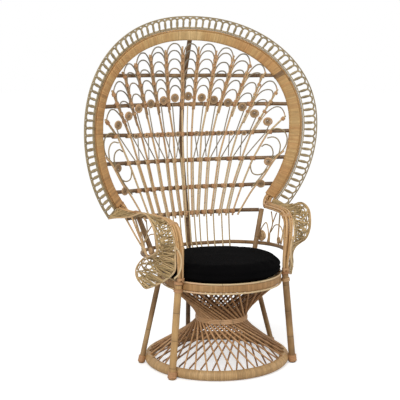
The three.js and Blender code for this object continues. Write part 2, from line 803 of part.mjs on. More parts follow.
// One layer of slanting strands, bound round the waist. Each strand has corners at four levels:
// its top, the upper and lower edges of the binding, and its foot.
function strandLayer(inset, turn) {
  const overhang = Math.max(0, inset - strandDiameter / 2 - baseRingFlatHalf);
  const ringSlope = Math.tan((2 * Math.PI) / baseRingSides);
  const bottom = baseRingDiameter + bentTouchGap - overhang * ringSlope;
  const top = seatBandBottom - touchGap;
  const bindingShare = waistBindingHeight / 2 / (top - waistHeight);
  const halfAngle = (radius) => strandDiameter / 2 / Math.cos(strandSlope) / radius;
  const levels = [
    { up: 1, half: halfAngle(strandTopRadius) },
    { up: bindingShare, half: halfAngle(waistRadius) },
    { up: -bindingShare, half: halfAngle(waistRadius) },
    { up: -1, half: halfAngle(baseRingRadius) },
  ];
  const place = (angle, up, layer) => {
    const waist = onCircle(waistRadius - inset, angle, -seatSetForward, waistHeight);
    const end = up > 0
      ? onCircle(strandTopRadius - inset, angle - turn * strandTwist, -seatSetForward, top)
      : onCircle(baseRingRadius - inset, angle + turn * strandTwist, 0, bottom);
    const centreY = up > 0 ? -seatSetForward : -seatSetForward * (1 + up);
    const point = waist.lerp(end, Math.abs(up));
    const outward = new THREE.Vector3(point.x, point.y - centreY, 0).normalize();
    return point.addScaledVector(outward, layer * strandDiameter);
  };
  const corners = [];
  for (let i = 0; i < strandCount; i += 1) {
    const angle = (2 * Math.PI * i) / strandCount;
    for (const { up, half } of levels) {
      for (const side of [-1, 1]) {
        corners.push(place(angle + side * half, up, -1 / 2), place(angle + side * half, up, 1 / 2));
      }
    }
  }
  // Number of a corner: side 0 is left and 1 right, layer 0 is inner and 1 outer.
  const at = (i, level, side, layer) => (
    ((i % strandCount) * levels.length + level) * 4 + side * 2 + layer
  );
  const faces = [];
  const quad = (a, b, c, d) => faces.push(a, b, c, a, c, d);
  const skin = (i, side, next, nextSide, low, high) => {
    quad(at(i, low, side, 1), at(next, low, nextSide, 1), at(next, high, nextSide, 1), at(i, high, side, 1));
    quad(at(next, low, nextSide, 0), at(i, low, side, 0), at(i, high, side, 0), at(next, high, nextSide, 0));
  };
  for (let i = 0; i < strandCount; i += 1) {
    for (const [low, high] of [[1, 0], [3, 2]]) {
      skin(i, 0, i, 1, low, high);
      quad(at(i, low, 0, 0), at(i, low, 0, 1), at(i, high, 0, 1), at(i, high, 0, 0));
      quad(at(i, low, 1, 1), at(i, low, 1, 0), at(i, high, 1, 0), at(i, high, 1, 1));
    }
    quad(at(i, 0, 0, 1), at(i, 0, 1, 1), at(i, 0, 1, 0), at(i, 0, 0, 0));
    quad(at(i, 3, 0, 0), at(i, 3, 1, 0), at(i, 3, 1, 1), at(i, 3, 0, 1));
    skin(i, 0, i, 1, 2, 1);
    skin(i, 1, i + 1, 0, 2, 1);
    quad(at(i, 1, 1, 1), at(i + 1, 1, 0, 1), at(i + 1, 1, 0, 0), at(i, 1, 1, 0));
    quad(at(i, 2, 1, 0), at(i + 1, 2, 0, 0), at(i + 1, 2, 0, 1), at(i, 2, 1, 1));
  }
  const layer = new THREE.BufferGeometry().setFromPoints(corners);
  layer.setIndex(faces);
  return layer;
}

// Two layers of strands run from the seat ring through the waist to the base ring. The outer
// layer turns one way and the inner layer the other way.
function makeHourglass() {
  addPiece('hourglass_outer_strands', strandLayer(0, 1), goldenCane, 0.6);
  addPiece('hourglass_inner_strands', strandLayer(strandLayerGap, -1), reddishCane, 0.6);
}

// How far a ring's many-sided outer edge reaches at an angle.
function ringReach(radius, angle) {
  const step = (2 * Math.PI) / ringSegments;
  return (radius * Math.cos(step / 2)) / Math.cos((angle % step) - step / 2);
}

// A pole that leans against the base ring, at the end of the ring's outer flat that lies nearer
// to it. Its foot and its top are cut level.
function leaningPole(diameter, sides, footAngle, knees) {
  const leanRadius = ringReach(baseRingOuterRadius, footAngle) + diameter / 2 + touchGap;
  const leansIn = Math.hypot(knees[0].x, knees[0].y) < leanRadius;
  const leanHeight = baseRingDiameter / 2 + (leansIn ? baseRingFlatHalf : -baseRingFlatHalf);
  const lean = onCircle(leanRadius, footAngle, 0, leanHeight);
  const foot = lean.clone().lerp(knees[0], -leanHeight / (knees[0].z - leanHeight));
  const points = [foot, ...knees];
  const facings = points.map((point, i) => (
    new THREE.Vector3(point.x, i > 0 ? point.y + seatSetForward : point.y, 0)
  ));
  const up = new THREE.Vector3(0, 0, 1);
  return sweep(ovalSection(diameter, diameter, sides), points, facings, { endDirections: [up, up] });
}

function makeLegs() {
  const legReach = ringReach(seatRingOuterRadius, frontLegTopAngle);
  const legRadius = legReach + frontLegDiameter / 2 + bentTouchGap;
  const legTop = onCircle(legRadius, frontLegTopAngle, -seatSetForward, seatHeight);
  const leg = leaningPole(frontLegDiameter, 8, frontFootAngle, [legTop]);
  addPiece('front_leg_left', mirrored(leg), goldenCane, 0.5);
  addPiece('front_leg_right', leg, goldenCane, 0.5);

  const kneeReach = ringReach(seatRingOuterRadius, sidePoleSeatAngle);
  const kneeRadius = kneeReach + sidePoleDiameter / 2 + touchGap;
  const kneeHeight = (seatBandTop + seatBandBottom) / 2;
  const knee = onCircle(kneeRadius, sidePoleSeatAngle, -seatSetForward, kneeHeight);
  const poleTop = armPlace(sidePoleTopShare);
  poleTop.z -= sidePoleTopDrop;
  const pole = leaningPole(sidePoleDiameter, 6, sideFootAngle, [knee, poleTop]);
  addPiece('side_pole_left', mirrored(pole), brownPole, 0.5);
  addPiece('side_pole_right', pole, brownPole, 0.5);

  const topDepth = -(bandThickness + spineDiameter) / 2 - bentTouchGap;
  const spinePoints = [
    new THREE.Vector3(0, heightAt(spineLowShare), spineDepth),
    ...rungShares.map(({ height }) => new THREE.Vector3(0, heightAt(height), spineDepth)).reverse(),
    new THREE.Vector3(0, heightAt(spineTopShare), topDepth),
  ];
  const spine = leaningPole(spineDiameter, 6, Math.PI, spinePoints.map(dish));
  addPiece('spine_pole', spine, brownPole, 0.5);
}

function armPlace([across, forward, up]) {
  const front = seatRingOuterRadius * armReachPerSeatRadius;
  const onSeat = THREE.MathUtils.clamp(forward, armFrontShare, 1);
  const pastSeat = Math.max(forward - 1, 0);
  return new THREE.Vector3(
    across * THREE.MathUtils.mapLinear(onSeat, armFrontShare, 1, front, fieldReach),
    (forward - pastSeat) * seatRingOuterRadius + pastSeat * fanBehindSeat - seatSetForward,
    seatHeight + up * armRise,
  );
}

function curvePoints(points, count) {
  return new THREE.CatmullRomCurve3(points, false, 'centripetal').getPoints(count);
}

// A point just past the right end of a rim line, straight on in the plane of the flat fan.
function pastRimEnd(inset, distance) {
  const end = rimPoint(0, inset, 0);
  const tangent = rim.getTangentAt(0);
  const flat = dish(end);
  return flat.add(new THREE.Vector3(-tangent.x, 0, -tangent.y).setLength(distance));
}

// The wrapped band of the fan runs on as the arm and bends down as the post over the front leg.
function makeArmBands() {
  const points = [
    pastRimEnd(bandInset, touchGap),
    pastRimEnd(bandInset, armEndRun),
    ...armBandShares.map(({ at }) => armPlace(at)),
  ];
  points.at(-1).z += touchGap;
  const facings = [
    new THREE.Vector3(0, -1, 0),
    new THREE.Vector3(0, -1, 0),
    ...armBandShares.map(({ facing }) => new THREE.Vector3(...facing)),
  ];
  const widthShares = [1, 1, ...armBandShares.map(({ width }) => width)];
  const band = sweep(flatSection(bandWidth, bandThickness), points, facings, { widthShares });
  addPiece('arm_band_left', mirrored(band), goldenCane, 0.55);
  addPiece('arm_band_right', band, goldenCane, 0.55);
}

// The lace leaves the rim, runs along the outside of the arm, hangs as a flap in front of it
// and folds back into an ear that narrows to a tip beside the seat. A brace cane behind the
// flap ties the arm's outer edge to the ear.
function makeArmLace() {
  const endGap = laceThickness / 2 + bentTouchGap;
  const edge = (inset, shares) => (
    new THREE.CatmullRomCurve3([pastRimEnd(inset, endGap), ...shares.map(armPlace)], false, 'centripetal')
  );
  const inner = edge(laceWidth, armLaceInnerShares);
  const outer = edge(0, armLaceOuterShares);
  const between = (along, across) => (
    inner.getPoint(THREE.MathUtils.clamp(along, 0, 1))
      .lerp(outer.getPoint(THREE.MathUtils.clamp(along, 0, 1)), across)
  );
  const columns = barColumns(armLaceSteps, armLaceBarShare / armLaceSteps);
  const isOpen = (column, row) => (
    column % 2 === 1 && row % 2 === 1 && column > 1 && column < columns.length - 3
  );
  const probe = 1 / (2 * armLaceSteps);
  const lace = openwork(columns, armLaceRowShares, isOpen, (along, across, layer) => {
    const ahead = between(along + probe, across);
    const behind = between(along - probe, across);
    const crossways = between(along, 1).sub(between(along, 0));
    const normal = ahead.sub(behind).cross(crossways).normalize();
    return between(along, across).addScaledVector(normal, layer * laceThickness);
  });
  const { from, to, across } = armLaceBraceShares;
  const braceFacing = new THREE.Vector3(1, 0, 0);
  const brace = sweep(
    ovalSection(armBraceDiameter, armBraceDiameter, 4),
    [between(from, across), between(to, across)],
    [braceFacing, braceFacing],
  );
  const bracedLace = fuse([lace, brace]);
  addPiece('arm_lace_left', mirrored(bracedLace), greyCane, 0.7);
  addPiece('arm_lace_right', bracedLace, greyCane, 0.7);
}

function hoopRungPoints() {
  const right = hoopRungShares.map(armPlace);
  const left = right.slice(1).reverse().map((point) => point.clone().setX(-point.x));
  return [...left, ...right];
}

function makeHoopRung() {
  const points = curvePoints(hoopRungPoints(), hoopRungSteps);
  const facings = points.map(() => new THREE.Vector3(0, 0, 1));
  const hoop = sweep(ovalSection(rungDiameter, rungDiameter, 6), points, facings);
  addPiece('rung_7', hoop, brownPole, 0.5);
}

// Thin canes that fill the side below the arm. They are laid out between the hoop rung's
// side run and the underside of the arm.
function makeInfill() {
  const low = new THREE.CatmullRomCurve3(hoopRungShares.slice(3).map(armPlace));
  const high = new THREE.CatmullRomCurve3(armBandShares.slice(1, 6).map(({ at }) => armPlace(at)));
  const footRise = new THREE.Vector3(0, 0, rungDiameter / 2 + infillFootRise);
  const headDrop = new THREE.Vector3(0, 0, -bandThickness);
  const place = ([along, up]) => (
    low.getPoint(along).add(footRise).lerp(high.getPoint(along).add(headDrop), up)
  );
  const section = ovalSection(infillCaneDiameter, infillCaneDiameter, 4);
  const cane = (shares) => {
    const points = curvePoints(shares.map(place), infillSteps);
    const facings = points.map(() => new THREE.Vector3(1, 0, 0));
    return sweep(section, points, facings);
  };
  const infill = fuse([
    cane(infillShares.archOne),
    cane(infillShares.stem),
    cane(infillShares.fork),
    cane(infillShares.archTwo),
  ]);
  addPiece('arm_infill_left', mirrored(infill), greyCane, 0.6);
  addPiece('arm_infill_right', infill, greyCane, 0.6);
}

makeBaseRing();
makeHourglass();
makeSeat();
makeCushion();
makeLegs();
makeRim();
makeRimLace();
makeRungs();
makeHoopRung();
makeStakes();
makeRosettes();
makeFeathers();
makeScrolls();
makeArmBands();
makeArmLace();
makeInfill();

const bounds = new THREE.Box3().setFromObject(chair);
const middle = bounds.getCenter(new THREE.Vector3());
for (const piece of chair.children) {
  piece.position.set(-middle.x, -middle.y, -bounds.min.z);
}

export default chair;
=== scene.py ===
"""Looks of the peacock chair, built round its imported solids. Lengths in this file are millimetres
in the chair's own frame, whose origin is the middle of the base ring, until a mesh is made."""

import math

import bpy
import numpy as np
from numpy import clip, cos, interp, linspace, sin
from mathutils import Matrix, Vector


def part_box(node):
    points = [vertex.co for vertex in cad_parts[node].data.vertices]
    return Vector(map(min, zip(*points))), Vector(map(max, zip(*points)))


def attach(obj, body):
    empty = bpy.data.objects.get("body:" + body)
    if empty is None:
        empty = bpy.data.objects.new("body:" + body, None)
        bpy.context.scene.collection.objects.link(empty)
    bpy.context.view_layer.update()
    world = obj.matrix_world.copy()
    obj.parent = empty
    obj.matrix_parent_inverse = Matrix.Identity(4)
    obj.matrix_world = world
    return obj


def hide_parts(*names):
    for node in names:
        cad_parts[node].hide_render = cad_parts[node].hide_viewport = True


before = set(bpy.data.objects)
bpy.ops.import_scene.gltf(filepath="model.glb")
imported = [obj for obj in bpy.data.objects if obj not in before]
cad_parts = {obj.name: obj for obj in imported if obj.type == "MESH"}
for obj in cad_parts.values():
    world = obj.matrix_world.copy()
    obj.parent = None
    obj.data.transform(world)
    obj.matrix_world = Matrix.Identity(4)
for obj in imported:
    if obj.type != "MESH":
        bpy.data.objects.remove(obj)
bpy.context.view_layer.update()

RING_LOW, RING_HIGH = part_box("base_ring")
# Where the middle of the base ring lies, in metres
MIDDLE = np.array([0, (RING_LOW.y + RING_HIGH.y) / 2, 0])
MM = 0.001
UP = np.array([0.0, 0.0, 1.0])
TURN = 2 * math.pi
FORWARD = (0, -1, 0)
rng = np.random.default_rng(7)

# Sizes that the solids have too
FAN_HALF, FAN_WIDEST, FAN_TOP, FAN_LOWER, FAN_POWER = 556, 1000, 500, 600, 2.15
RIM_END = math.radians(38)
SEAT, RISE = 405, 1095
LACE_WIDTH, LACE_PITCH = 57, 32
BAND_INSET, EDGE_INSET = 85.6, 61.3
RUNG_DEPTH, STAKE_DEPTH, ARCH_DEPTH, SPINE_DEPTH = -17.9, -4.5, 2.6, -38.8
SEAT_SHIFT, SEAT_RADIUS, SEAT_TOP, SEAT_LOW = 48, 258, 398.7, 366.7
BASE_RADIUS, BASE_DIAMETER = 295, 42
WAIST, WAIST_RADIUS = 205, 103
STRANDS, STRAND_DIAMETER, TWIST = 36, 6.5, math.radians(58)
ARM_RISE = 250

# Rungs from the top down: height, half width and sag, as shares
RUNGS = [(0.7607, 0.735, 0), (0.6411, 0.84, 0), (0.5297, 0.855, 0.0137), (0.4155, 0.82, 0.009),
         (0.3005, 0.72, 0.0085), (0.189, 0.59, 0.005)]
STAKE_HEIGHTS = [0.167, 0.189, 0.2968, 0.4091, 0.516, 0.6411, 0.7607]
STAKES = [
    ([0.027, 0.027, 0.032, 0.036, 0.04, 0.05, 0.061], (0.072, 0.8785)),
    ([0.068, 0.072, 0.094, 0.112, 0.126, 0.174, 0.201], (0.225, 0.863)),
    ([0.128, 0.135, 0.158, 0.18, 0.219, 0.277, 0.336], (0.369, 0.843)),
    ([0.187, 0.194, 0.234, 0.27, 0.327, 0.398, 0.471], (0.505, 0.8085)),
    ([0.256, 0.264, 0.315, 0.365, 0.426, 0.527, 0.603], (0.626, 0.7735)),
    ([0.314, 0.324, 0.383, 0.459, 0.531, 0.662], (0.72, 0.703)),
    ([0.368, 0.378, 0.459, 0.549, 0.656], (0.785, 0.591)),
]
ROSETTES = [
    (0, 0.6749), (0.119, 0.6685), (0.223, 0.6584), (0.342, 0.6466), (0.457, 0.6283),
    (0.554, 0.6), (0.656, 0.5662),
]
ARCH_TOPS = [
    [0.892, 0.864, 0.83, 0.792, 0.755, 0.722],
    [0.892, 0.864, 0.83, 0.792, 0.755, 0.722],
    [0.8767, 0.8548, 0.8174, 0.7817, 0.7461, 0.7114],
    [0.852, 0.8237, 0.7854, 0.7425, 0.7041],
    [0.8091, 0.7744, 0.7333, 0.6895],
    [0.7397, 0.704, 0.662],
    [0.632],
]
ARCH_RISE, ARCH_CANE, BUNDLE = 0.046, 5.4, 15
LOWER_HEIGHTS = [0.055, 0.189, 0.2968, 0.4091]
SCROLLS = {
    "diagonal": [(0.778, 0.4425), (0.719, 0.411), (0.6205, 0.3288), (0.545, 0.2804),
                 (0.4406, 0.1945), (0.41, 0.169)],
    "over": [(0.68, 0.53), (0.728, 0.537), (0.772, 0.5285), (0.797, 0.505), (0.796, 0.475),
             (0.768, 0.4425), (0.706, 0.414), (0.606, 0.331), (0.53, 0.2845)],
    "outer": [(0.734, 0.418), (0.748, 0.445), (0.75, 0.47), (0.728, 0.4932), (0.698, 0.5005),
              (0.655, 0.4959)],
    "inner": [(0.6627, 0.3955), (0.69, 0.412), (0.699, 0.436), (0.682, 0.46), (0.6425, 0.4685),
              (0.6133, 0.4594)],
    "loop": [(0.655, 0.364), (0.628, 0.348), (0.585, 0.3388), (0.545, 0.3452), (0.53, 0.366),
             (0.529, 0.392)],
}
SCROLL_ROSETTES = [(0.6627, 0.3955), (0.602, 0.3014)]
ARM_BAND = [
    ((0.62, 0.93, 1), (-0.6, -0.6, 0.6), 1),
    ((0.585, 0.78, 0.98), (-0.5, -0.2, 0.9), 1),
    ((0.554, 0.58, 0.98), (-0.4, 0, 0.9), 1),
    ((0.51, 0.05, 1), (-0.35, 0, 0.9), 1),
    ((0.482, -0.29, 0.98), (-0.3, -0.3, 0.9), 1),
    ((0.463, -0.47, 0.87), (-0.2, -0.8, 0.5), 1),
    ((0.446, -0.53, 0.55), (-0.2, -1, 0), 0.95),
    ((0.437, -0.504, 0.2), (-0.2, -1, 0), 0.75),
    ((0.437, -0.504, 0), (-0.2, -1, 0), 0.7),
]
LACE_INNER = [
    (0.64, 0.75, 0.98), (0.6, 0.5, 0.98), (0.56, 0.02, 1.01), (0.532, -0.32, 0.98),
    (0.518, -0.5, 0.84), (0.507, -0.56, 0.62), (0.495, -0.5, 0.42), (0.4975, -0.4446, 0.2),
    (0.539, -0.256, 0.015), (0.58, -0.1, -0.1), (0.614, 0.02, -0.18),
]
LACE_OUTER = [
    (0.765, 0.6, 0.94), (0.71, 0.28, 0.99), (0.668, -0.2, 1.12), (0.66, -0.455, 1.02),
    (0.64, -0.56, 0.75), (0.624, -0.5, 0.56), (0.625, -0.26, 0.43), (0.644, 0.05, 0.32),
    (0.673, 0.178, 0.144), (0.673, 0.16, 0), (0.632, 0.06, -0.16),
]
LACE_START, ARM_LOOPS = -0.1, 38
# Loose canes of each arm: a loop beside the post, and two straight ones from flap to hoop
ARM_CANES = [
    ([(270, -188, 556), (257, -201, 531), (251, -204.5, 507), (252, -204.5, 474),
      (260, -200, 444), (273, -186, 424)], 8, 0.7),
    ([(389, 79, 645), (355, 39, 564), (318, 3, 487)], 8, 0.6),
    ([(350, 68, 645), (333, 49, 566), (316, 31, 486)], 7, 0.85),
]
HOOP = [
    (0, 1.318, 0.24), (0.2, 1.285, 0.24), (0.36, 1.212, 0.24), (0.471, 0.98, 0.25),
    (0.54, 0.61, 0.275), (0.549, 0.19, 0.3), (0.504, -0.2, 0.325), (0.4425, -0.457, 0.35),
]
POLE_TOP = (0.54, 0.8, 0.89)
STEM_GAP, STRAND_TOP, INNER_INSET = 8.9, 246.9, 10.9
# Where the poles lean on the base ring: radius without their own, and height
LEAN_RADIUS, LEAN_HEIGHT = 315.3, 29.7

# Looks: half of one lace loop, in pitches along the rim and millimetres in from it
LACE_LOOP = np.array([(0, 8.6), (0.25, 10), (0.42, 13.4), (0.5, 17.4), (0.565, 24), (0.59, 32),
                      (0.565, 41), (0.5, 48.5)])
# Round canes of the rim: inset, width and tone
RIM_CANES = [(3, 6, 0.3), (49.6, 5.4, 0.9), (54.8, 4.8, 0.25)]
LACE_CANE, RUNG, SMALL_CANE, SCROLL_CANE, STAKE = 8.2, 18, 4.8, 6.2, (9, 7.6)
EDGE_CANE, HOOP_CANE, SEAT_CANE, WAIST_CANE, FLAP_CANE, INFILL_CANE = 8, 17.6, 7.4, 6.8, 5, 5.6
LEG_POLE, SIDE_POLE, SPINE_POLE, SPINE_BOW = 29.5, 22.5, 21.5, 16
# Windings: width, thickness and pitch
FAN_WINDING, FAN_JOINT = (39.6, 15, 5), (42, 18.5, 4)
RUNG_TIE, STAKE_TIE, ARCH_TIE = (20.5, 20.5, 3.6), (12.5, 10.5, 3.6), (17.5, 13.5, 3)
SEAT_WINDING, BASE_WINDING = (31, 22, 5), (40.6, 40.6, 7)
# Coils: diameter and cane, the turn after which they draw in, and the draw per turn in canes
ROSETTE, SMALL_COIL, SCROLL_COIL = (41, 6.4), (25, 5), (39, 6.2)
FIRST_TURN, COIL_PITCH = 0.85, 0.93
# Canes of the arm, front to back: offset, lift, width and tone; then the offset and tone below
ARM_TOP_CANES = [(-17, 0, 7.4, 0.45), (-9, 2.8, 9, 0.98), (-0.5, -0.6, 7.2, 0.2),
                 (7.6, 2.4, 8.6, 0.72), (16, 0.4, 8, 0.92)]
ARM_LOW_CANES = [(-10, 0.3), (0, 0.5), (10, 0.2)]
ARM_TIES = (0.02, 0.36, 0.66, 0.985)
# Nested arches of a flap: reach across it, share of the spread, and lift; then its edge canes
ARM_ARCHES = [(0.93, 1, 2.4), (0.74, 0.76, -1.6), (0.55, 0.5, 0.6)]
ARM_EDGES = [(LACE_START, 8.4, 0.75), (0.97, 6.5, 0.3), (0.88, 4.6, 0.1)]
# Curls that stand on the hoop: place along the arm, diameter and cane
CURLS = [(0.17, 54, 10), (0.5, 34, 7), (0.83, 42, 8.5)]
# Cushion: start wider and flatter than the solid, then blow up; pressure, steps, furthest move
CUSHION_SPARE, CUSHION_EDGE, VOXEL = 11, 26, 0.0055
PRESSURE, CLOTH_STEPS, FURTHEST = 4, 20, 0.009
SEAM_DEPTH, PUCKER_DEPTH, CREASE_DEPTH, PUCKERS = 3.4, 1.3, 0.9, 46

# Camera, in millimetres and degrees; stage, in metres and watts
CAMERA_PLACE, CAMERA_DIP, CAMERA_TURN = (-1633.2, -3564.4, 1244.7), 7.19, -24.62
LENS, LENS_SHIFT = 82.65, (-0.0419, -0.0255)
FLOOR_SIDE, FLOOR_HEIGHT, FLOOR_COLOR = 400, -0.0005, (0.8, 0.8, 0.8, 1)
# Distances from the chair, and how strongly the floor glows at each
FLOOR_GLOW = (0.5, 3.5, 0.51, 0.63)
AMBIENT = 0.48
LAMP_TARGET = (0, 0, 0.8)
LAMPS = [
    ("key", (-2.2, -2.6, 3.2), 1.8, 92),
    ("fill", (2.8, -1.8, 1.8), 2.5, 24),
    ("back", (0.6, 3.0, 2.6), 2.0, 16),
]

# Looks: joint rings of a cane in millimetres, the run of one shade along a winding in metres
KNOT_WIDTH, RUN_LENGTH, FIBRE, CANE_SPECULAR = 2.8, 0.16, 0.16, 0.35
DECK_COLORS = [(0.2, 0.14, 0.08), (0.45, 0.33, 0.18)]
CLOTH_COLORS = [(0.0022, 0.0022, 0.0025), (0.0034, 0.0032, 0.0034)]
TOWARDS_SITTER = (0, 0, 1)
# Band tones along the rim: runs of its own colour, and darker towards the left end as painted shade
BAND_TONE_SHARES = [0, 0.1, 0.22, 0.3, 0.38, 0.45, 0.56, 0.64, 0.8, 0.92, 1]
BAND_TONES_AND_SHADE = [0.5, 0.55, 0.75, 0.4, 0.35, 0.9, 0.95, 0.5, 0.2, 0.35, 0.15]
INFILL = [
    [(0.1, 0), (0.11, 0.3), (0.2, 0.56), (0.27, 0.35), (0.285, 0)],
    [(0.285, 0), (0.31, 0.3), (0.36, 0.58), (0.33, 0.93)],
    [(0.36, 0.58), (0.45, 0.93)],
    [(0.32, 0.3), (0.42, 0.55), (0.58, 0.55), (0.68, 0.3), (0.7, 0)],
]


def real(values):
    return np.asarray(values, float)


def unit(v):
    return v / np.maximum(np.linalg.norm(v, axis=-1, keepdims=True), 1e-12)


def columns(*values):
    """Points from their coordinates, where one number can stand for all points."""
    return np.stack(np.broadcast_arrays(*values), axis=-1)


def round_axis(radius, angle, z, centre_y=0):
    """Points round an upright axis, at angles from the front."""
    return columns(radius * sin(angle), centre_y - radius * cos(angle), z)


def spline(points, t):
    """Centripetal Catmull-Rom curve through the points, at shares t of its point count."""
    p = real(points)
    p = np.vstack([2 * p[0] - p[1], p, 2 * p[-1] - p[-2]])
    t = clip(np.atleast_1d(real(t)), 0, 1) * (len(p) - 3)
    i = np.minimum(t.astype(int), len(p) - 4)
    w = (t - i)[:, None]
    a, b, c, d = (p[i + k] for k in range(4))
    step = [np.maximum(np.linalg.norm(y - x, axis=1), 1e-6)[:, None] ** 0.5
            for x, y in ((a, b), (b, c), (c, d))]
    m1 = ((b - a) / step[0] - (c - a) / (step[0] + step[1]) + (c - b) / step[1]) * step[1]
    m2 = ((c - b) / step[1] - (d - b) / (step[1] + step[2]) + (d - c) / step[2]) * step[1]
    return (
        b + m1 * w + (3 * (c - b) - 2 * m1 - m2) * w**2 + (2 * (b - c) + m1 + m2) * w**3
    )


def smooth(points, count):
    return spline(points, linspace(0, 1, count + 1))


def lengths(points):
    return np.concatenate([[0], np.cumsum(np.linalg.norm(np.diff(points, axis=0), axis=1))])


def even(points, step):
    """The same line with a point at every step along it."""
    s = lengths(points)
    at = linspace(0, s[-1], max(2, int(round(s[-1] / step)) + 1))
    return columns(*(interp(at, s, values) for values in points.T))


def dish(flat):
    """Bends flat points (across, height, depth towards the sitter) on to the dished back."""
    x, z, depth = real(flat).T
    rise = (z - FAN_WIDEST) / FAN_TOP
    y = 320 - 18 * rise - 57 * rise**2 - 223 * (x / FAN_HALF) ** 2
    return columns(x, y - depth, z)


def grown(value, start, reach):
    """Grows from 0 at start to 1 a reach further on."""
    return clip((value - start) / reach, 0, 1)


def signed(value, power):
    """A power that keeps the sign of its value."""
    return np.sign(value) * np.abs(value) ** power


def square(facing, tangent):
    """The part of a direction that is square to a curve."""
    return unit(facing - (facing * tangent).sum(1, keepdims=True) * tangent)


def turns(ridge, count):
    """How far the skin of a winding stands up at each point, with four points to a turn."""
    return np.resize([0, ridge, ridge, ridge * 0.8], count)


def height(share):
    return SEAT + real(share) * RISE


def flat(places, depth):
    places = real(places)
    return columns(places[:, 0] * FAN_HALF, height(places[:, 1]), depth)


def flip(points):
    return real(points) * [-1, 1, 1]


def fan_outline():
    angles = linspace(-RIM_END, math.pi + RIM_END, 4001)
    above = sin(angles) > 0
    power = np.where(above, 2 / FAN_POWER, 1)
    rise = np.where(above, FAN_TOP, FAN_LOWER)
    return columns(FAN_HALF * signed(cos(angles), power),
                   FAN_WIDEST + rise * signed(sin(angles), power))


# Outline of the fan by length
RIM = fan_outline()
RIM_S = lengths(RIM)
RIM_LENGTH = RIM_S[-1]
RIM_TANGENT = unit(np.gradient(RIM, RIM_S, axis=0))


def rim_points(s, inset, depth):
    """Flat points at lengths s along the rim and insets from it."""
    x, z = (interp(s, RIM_S, RIM[:, k]) for k in (0, 1))
    tx, tz = (interp(s, RIM_S, RIM_TANGENT[:, k]) for k in (0, 1))
    return columns(x - tz * inset, z + tx * inset, depth)


def add_object(name, data):
    obj = bpy.data.objects.new(name, data)
    bpy.context.scene.collection.objects.link(obj)
    return obj


def new_mesh(name, verts, faces):
    mesh = bpy.data.meshes.new(name)
    mesh.from_pydata((verts * MM + MIDDLE).tolist(), [], faces)
    mesh.update()
    return mesh


def make_smooth(mesh):
    mesh.polygons.foreach_set("use_smooth", np.ones(len(mesh.polygons), bool))
    mesh.update()


class Mesh:
    """Collects swept members into one mesh. Each keeps its own tone and the length along it."""

    def __init__(self):
        self.verts, self.faces, self.tone, self.along, self.around = [], [], [], [], []
        self.count = 0

    def grid(self, rows, closed, tone, along):
        """Skins rings of points, one after another along a member."""
        steps, sides = rows.shape[:2]
        index = self.count + np.arange(steps * sides).reshape(steps, sides)
        after = np.roll(index, -1, axis=1)
        quads = np.stack([index, after, np.roll(after, -1, axis=0), np.roll(index, -1, axis=0)], -1)
        self.faces += (quads if closed else quads[:-1]).reshape(-1, 4).tolist()
        if not closed:
            self.faces += [index[0][::-1].tolist(), index[-1].tolist()]
        self.verts.append(rows.reshape(-1, 3))
        self.tone.append(np.repeat(np.broadcast_to(tone, steps), sides))
        self.along.append(np.repeat(along, sides))
        self.around.append(np.tile(np.arange(sides) / sides, steps))
        self.count += steps * sides

    def tube(self, points, width, thick=None, sides=7, facing=None, closed=False, tone=None,
             scale=1, power=2.0, ridges=0, bend=None):
        """Sweeps an oval, or a rounded bar where power is higher, along points."""
        points = real(points)
        if closed:
            tangent = unit(np.roll(points, -1, axis=0) - np.roll(points, 1, axis=0))
            along = lengths(np.vstack([points, points[:1]]))[:-1]
        else:
            tangent = unit(np.gradient(points, axis=0))
            along = lengths(points)
        if facing is None:
            normal = carried_normals(tangent)
        else:
            normal = square(np.broadcast_to(real(facing), points.shape), tangent)
        angle = TURN * (np.arange(sides) + 0.5) / sides
        rows = points[:, None]
        for way, size, wave in ((np.cross(normal, tangent), width, cos(angle)),
                                (normal, width if thick is None else thick, sin(angle))):
            half = (real(size) / 2 + ridges) * scale * np.ones(len(points))
            rows = rows + way[:, None] * (half[:, None] * signed(wave, 2 / power))[..., None]
        if bend:
            rows = bend(rows.reshape(-1, 3)).reshape(rows.shape)
        self.grid(rows, closed, rng.random() if tone is None else tone, along * MM)

    def wound(self, points, width, thick, pitch, ridge=0.7, sides=16, power=4.0, tone=None,
              **more):
        """A member wound with split cane: its skin rises and falls with each turn."""
        points = even(real(points), pitch / 4)
        if np.ndim(tone):
            tone = interp(linspace(0, len(tone) - 1, len(points)), range(len(tone)), tone)
        self.tube(points, width, thick, sides=sides, power=power, tone=tone,
                  ridges=turns(ridge, len(points)), **more)

    def build(self, name, material, nodes=(), slot=None):
        mesh = new_mesh(name, np.concatenate(self.verts), self.faces)
        for key in ("tone", "along", "around"):
            layer = mesh.attributes.new(key, "FLOAT", "POINT")
            layer.data.foreach_set("value", np.concatenate(getattr(self, key)).astype(np.float32))
        mesh.materials.append(material)
        make_smooth(mesh)
        obj = add_object(name, mesh)
        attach(obj, "root")
        if nodes:
            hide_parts(*nodes)


def carried_normals(tangent):
    """Normals that are carried along a curve without twisting about it."""
    first = np.cross(tangent[0], UP)
    if np.linalg.norm(first) < 0.1:
        first = np.cross(tangent[0], [1.0, 0, 0])
    normals = [unit(first)]
    for t in tangent[1:]:
        n = normals[-1] - (normals[-1] @ t) * t
        normals.append(n / max(np.linalg.norm(n), 1e-9))
    return np.array(normals)


def both(sweep, points, *sizes, facing=None, **more):
    """Sweeps a member and its mirror image."""
    sweep(points, *sizes, facing=facing, **more)
    sweep(flip(points), *sizes, facing=None if facing is None else flip(facing), **more)


# Materials

def shader(name):
    material = bpy.data.materials.new(name)
    material.use_nodes = True
    return material, Nodes(material.node_tree), material.node_tree.nodes["Principled BSDF"]


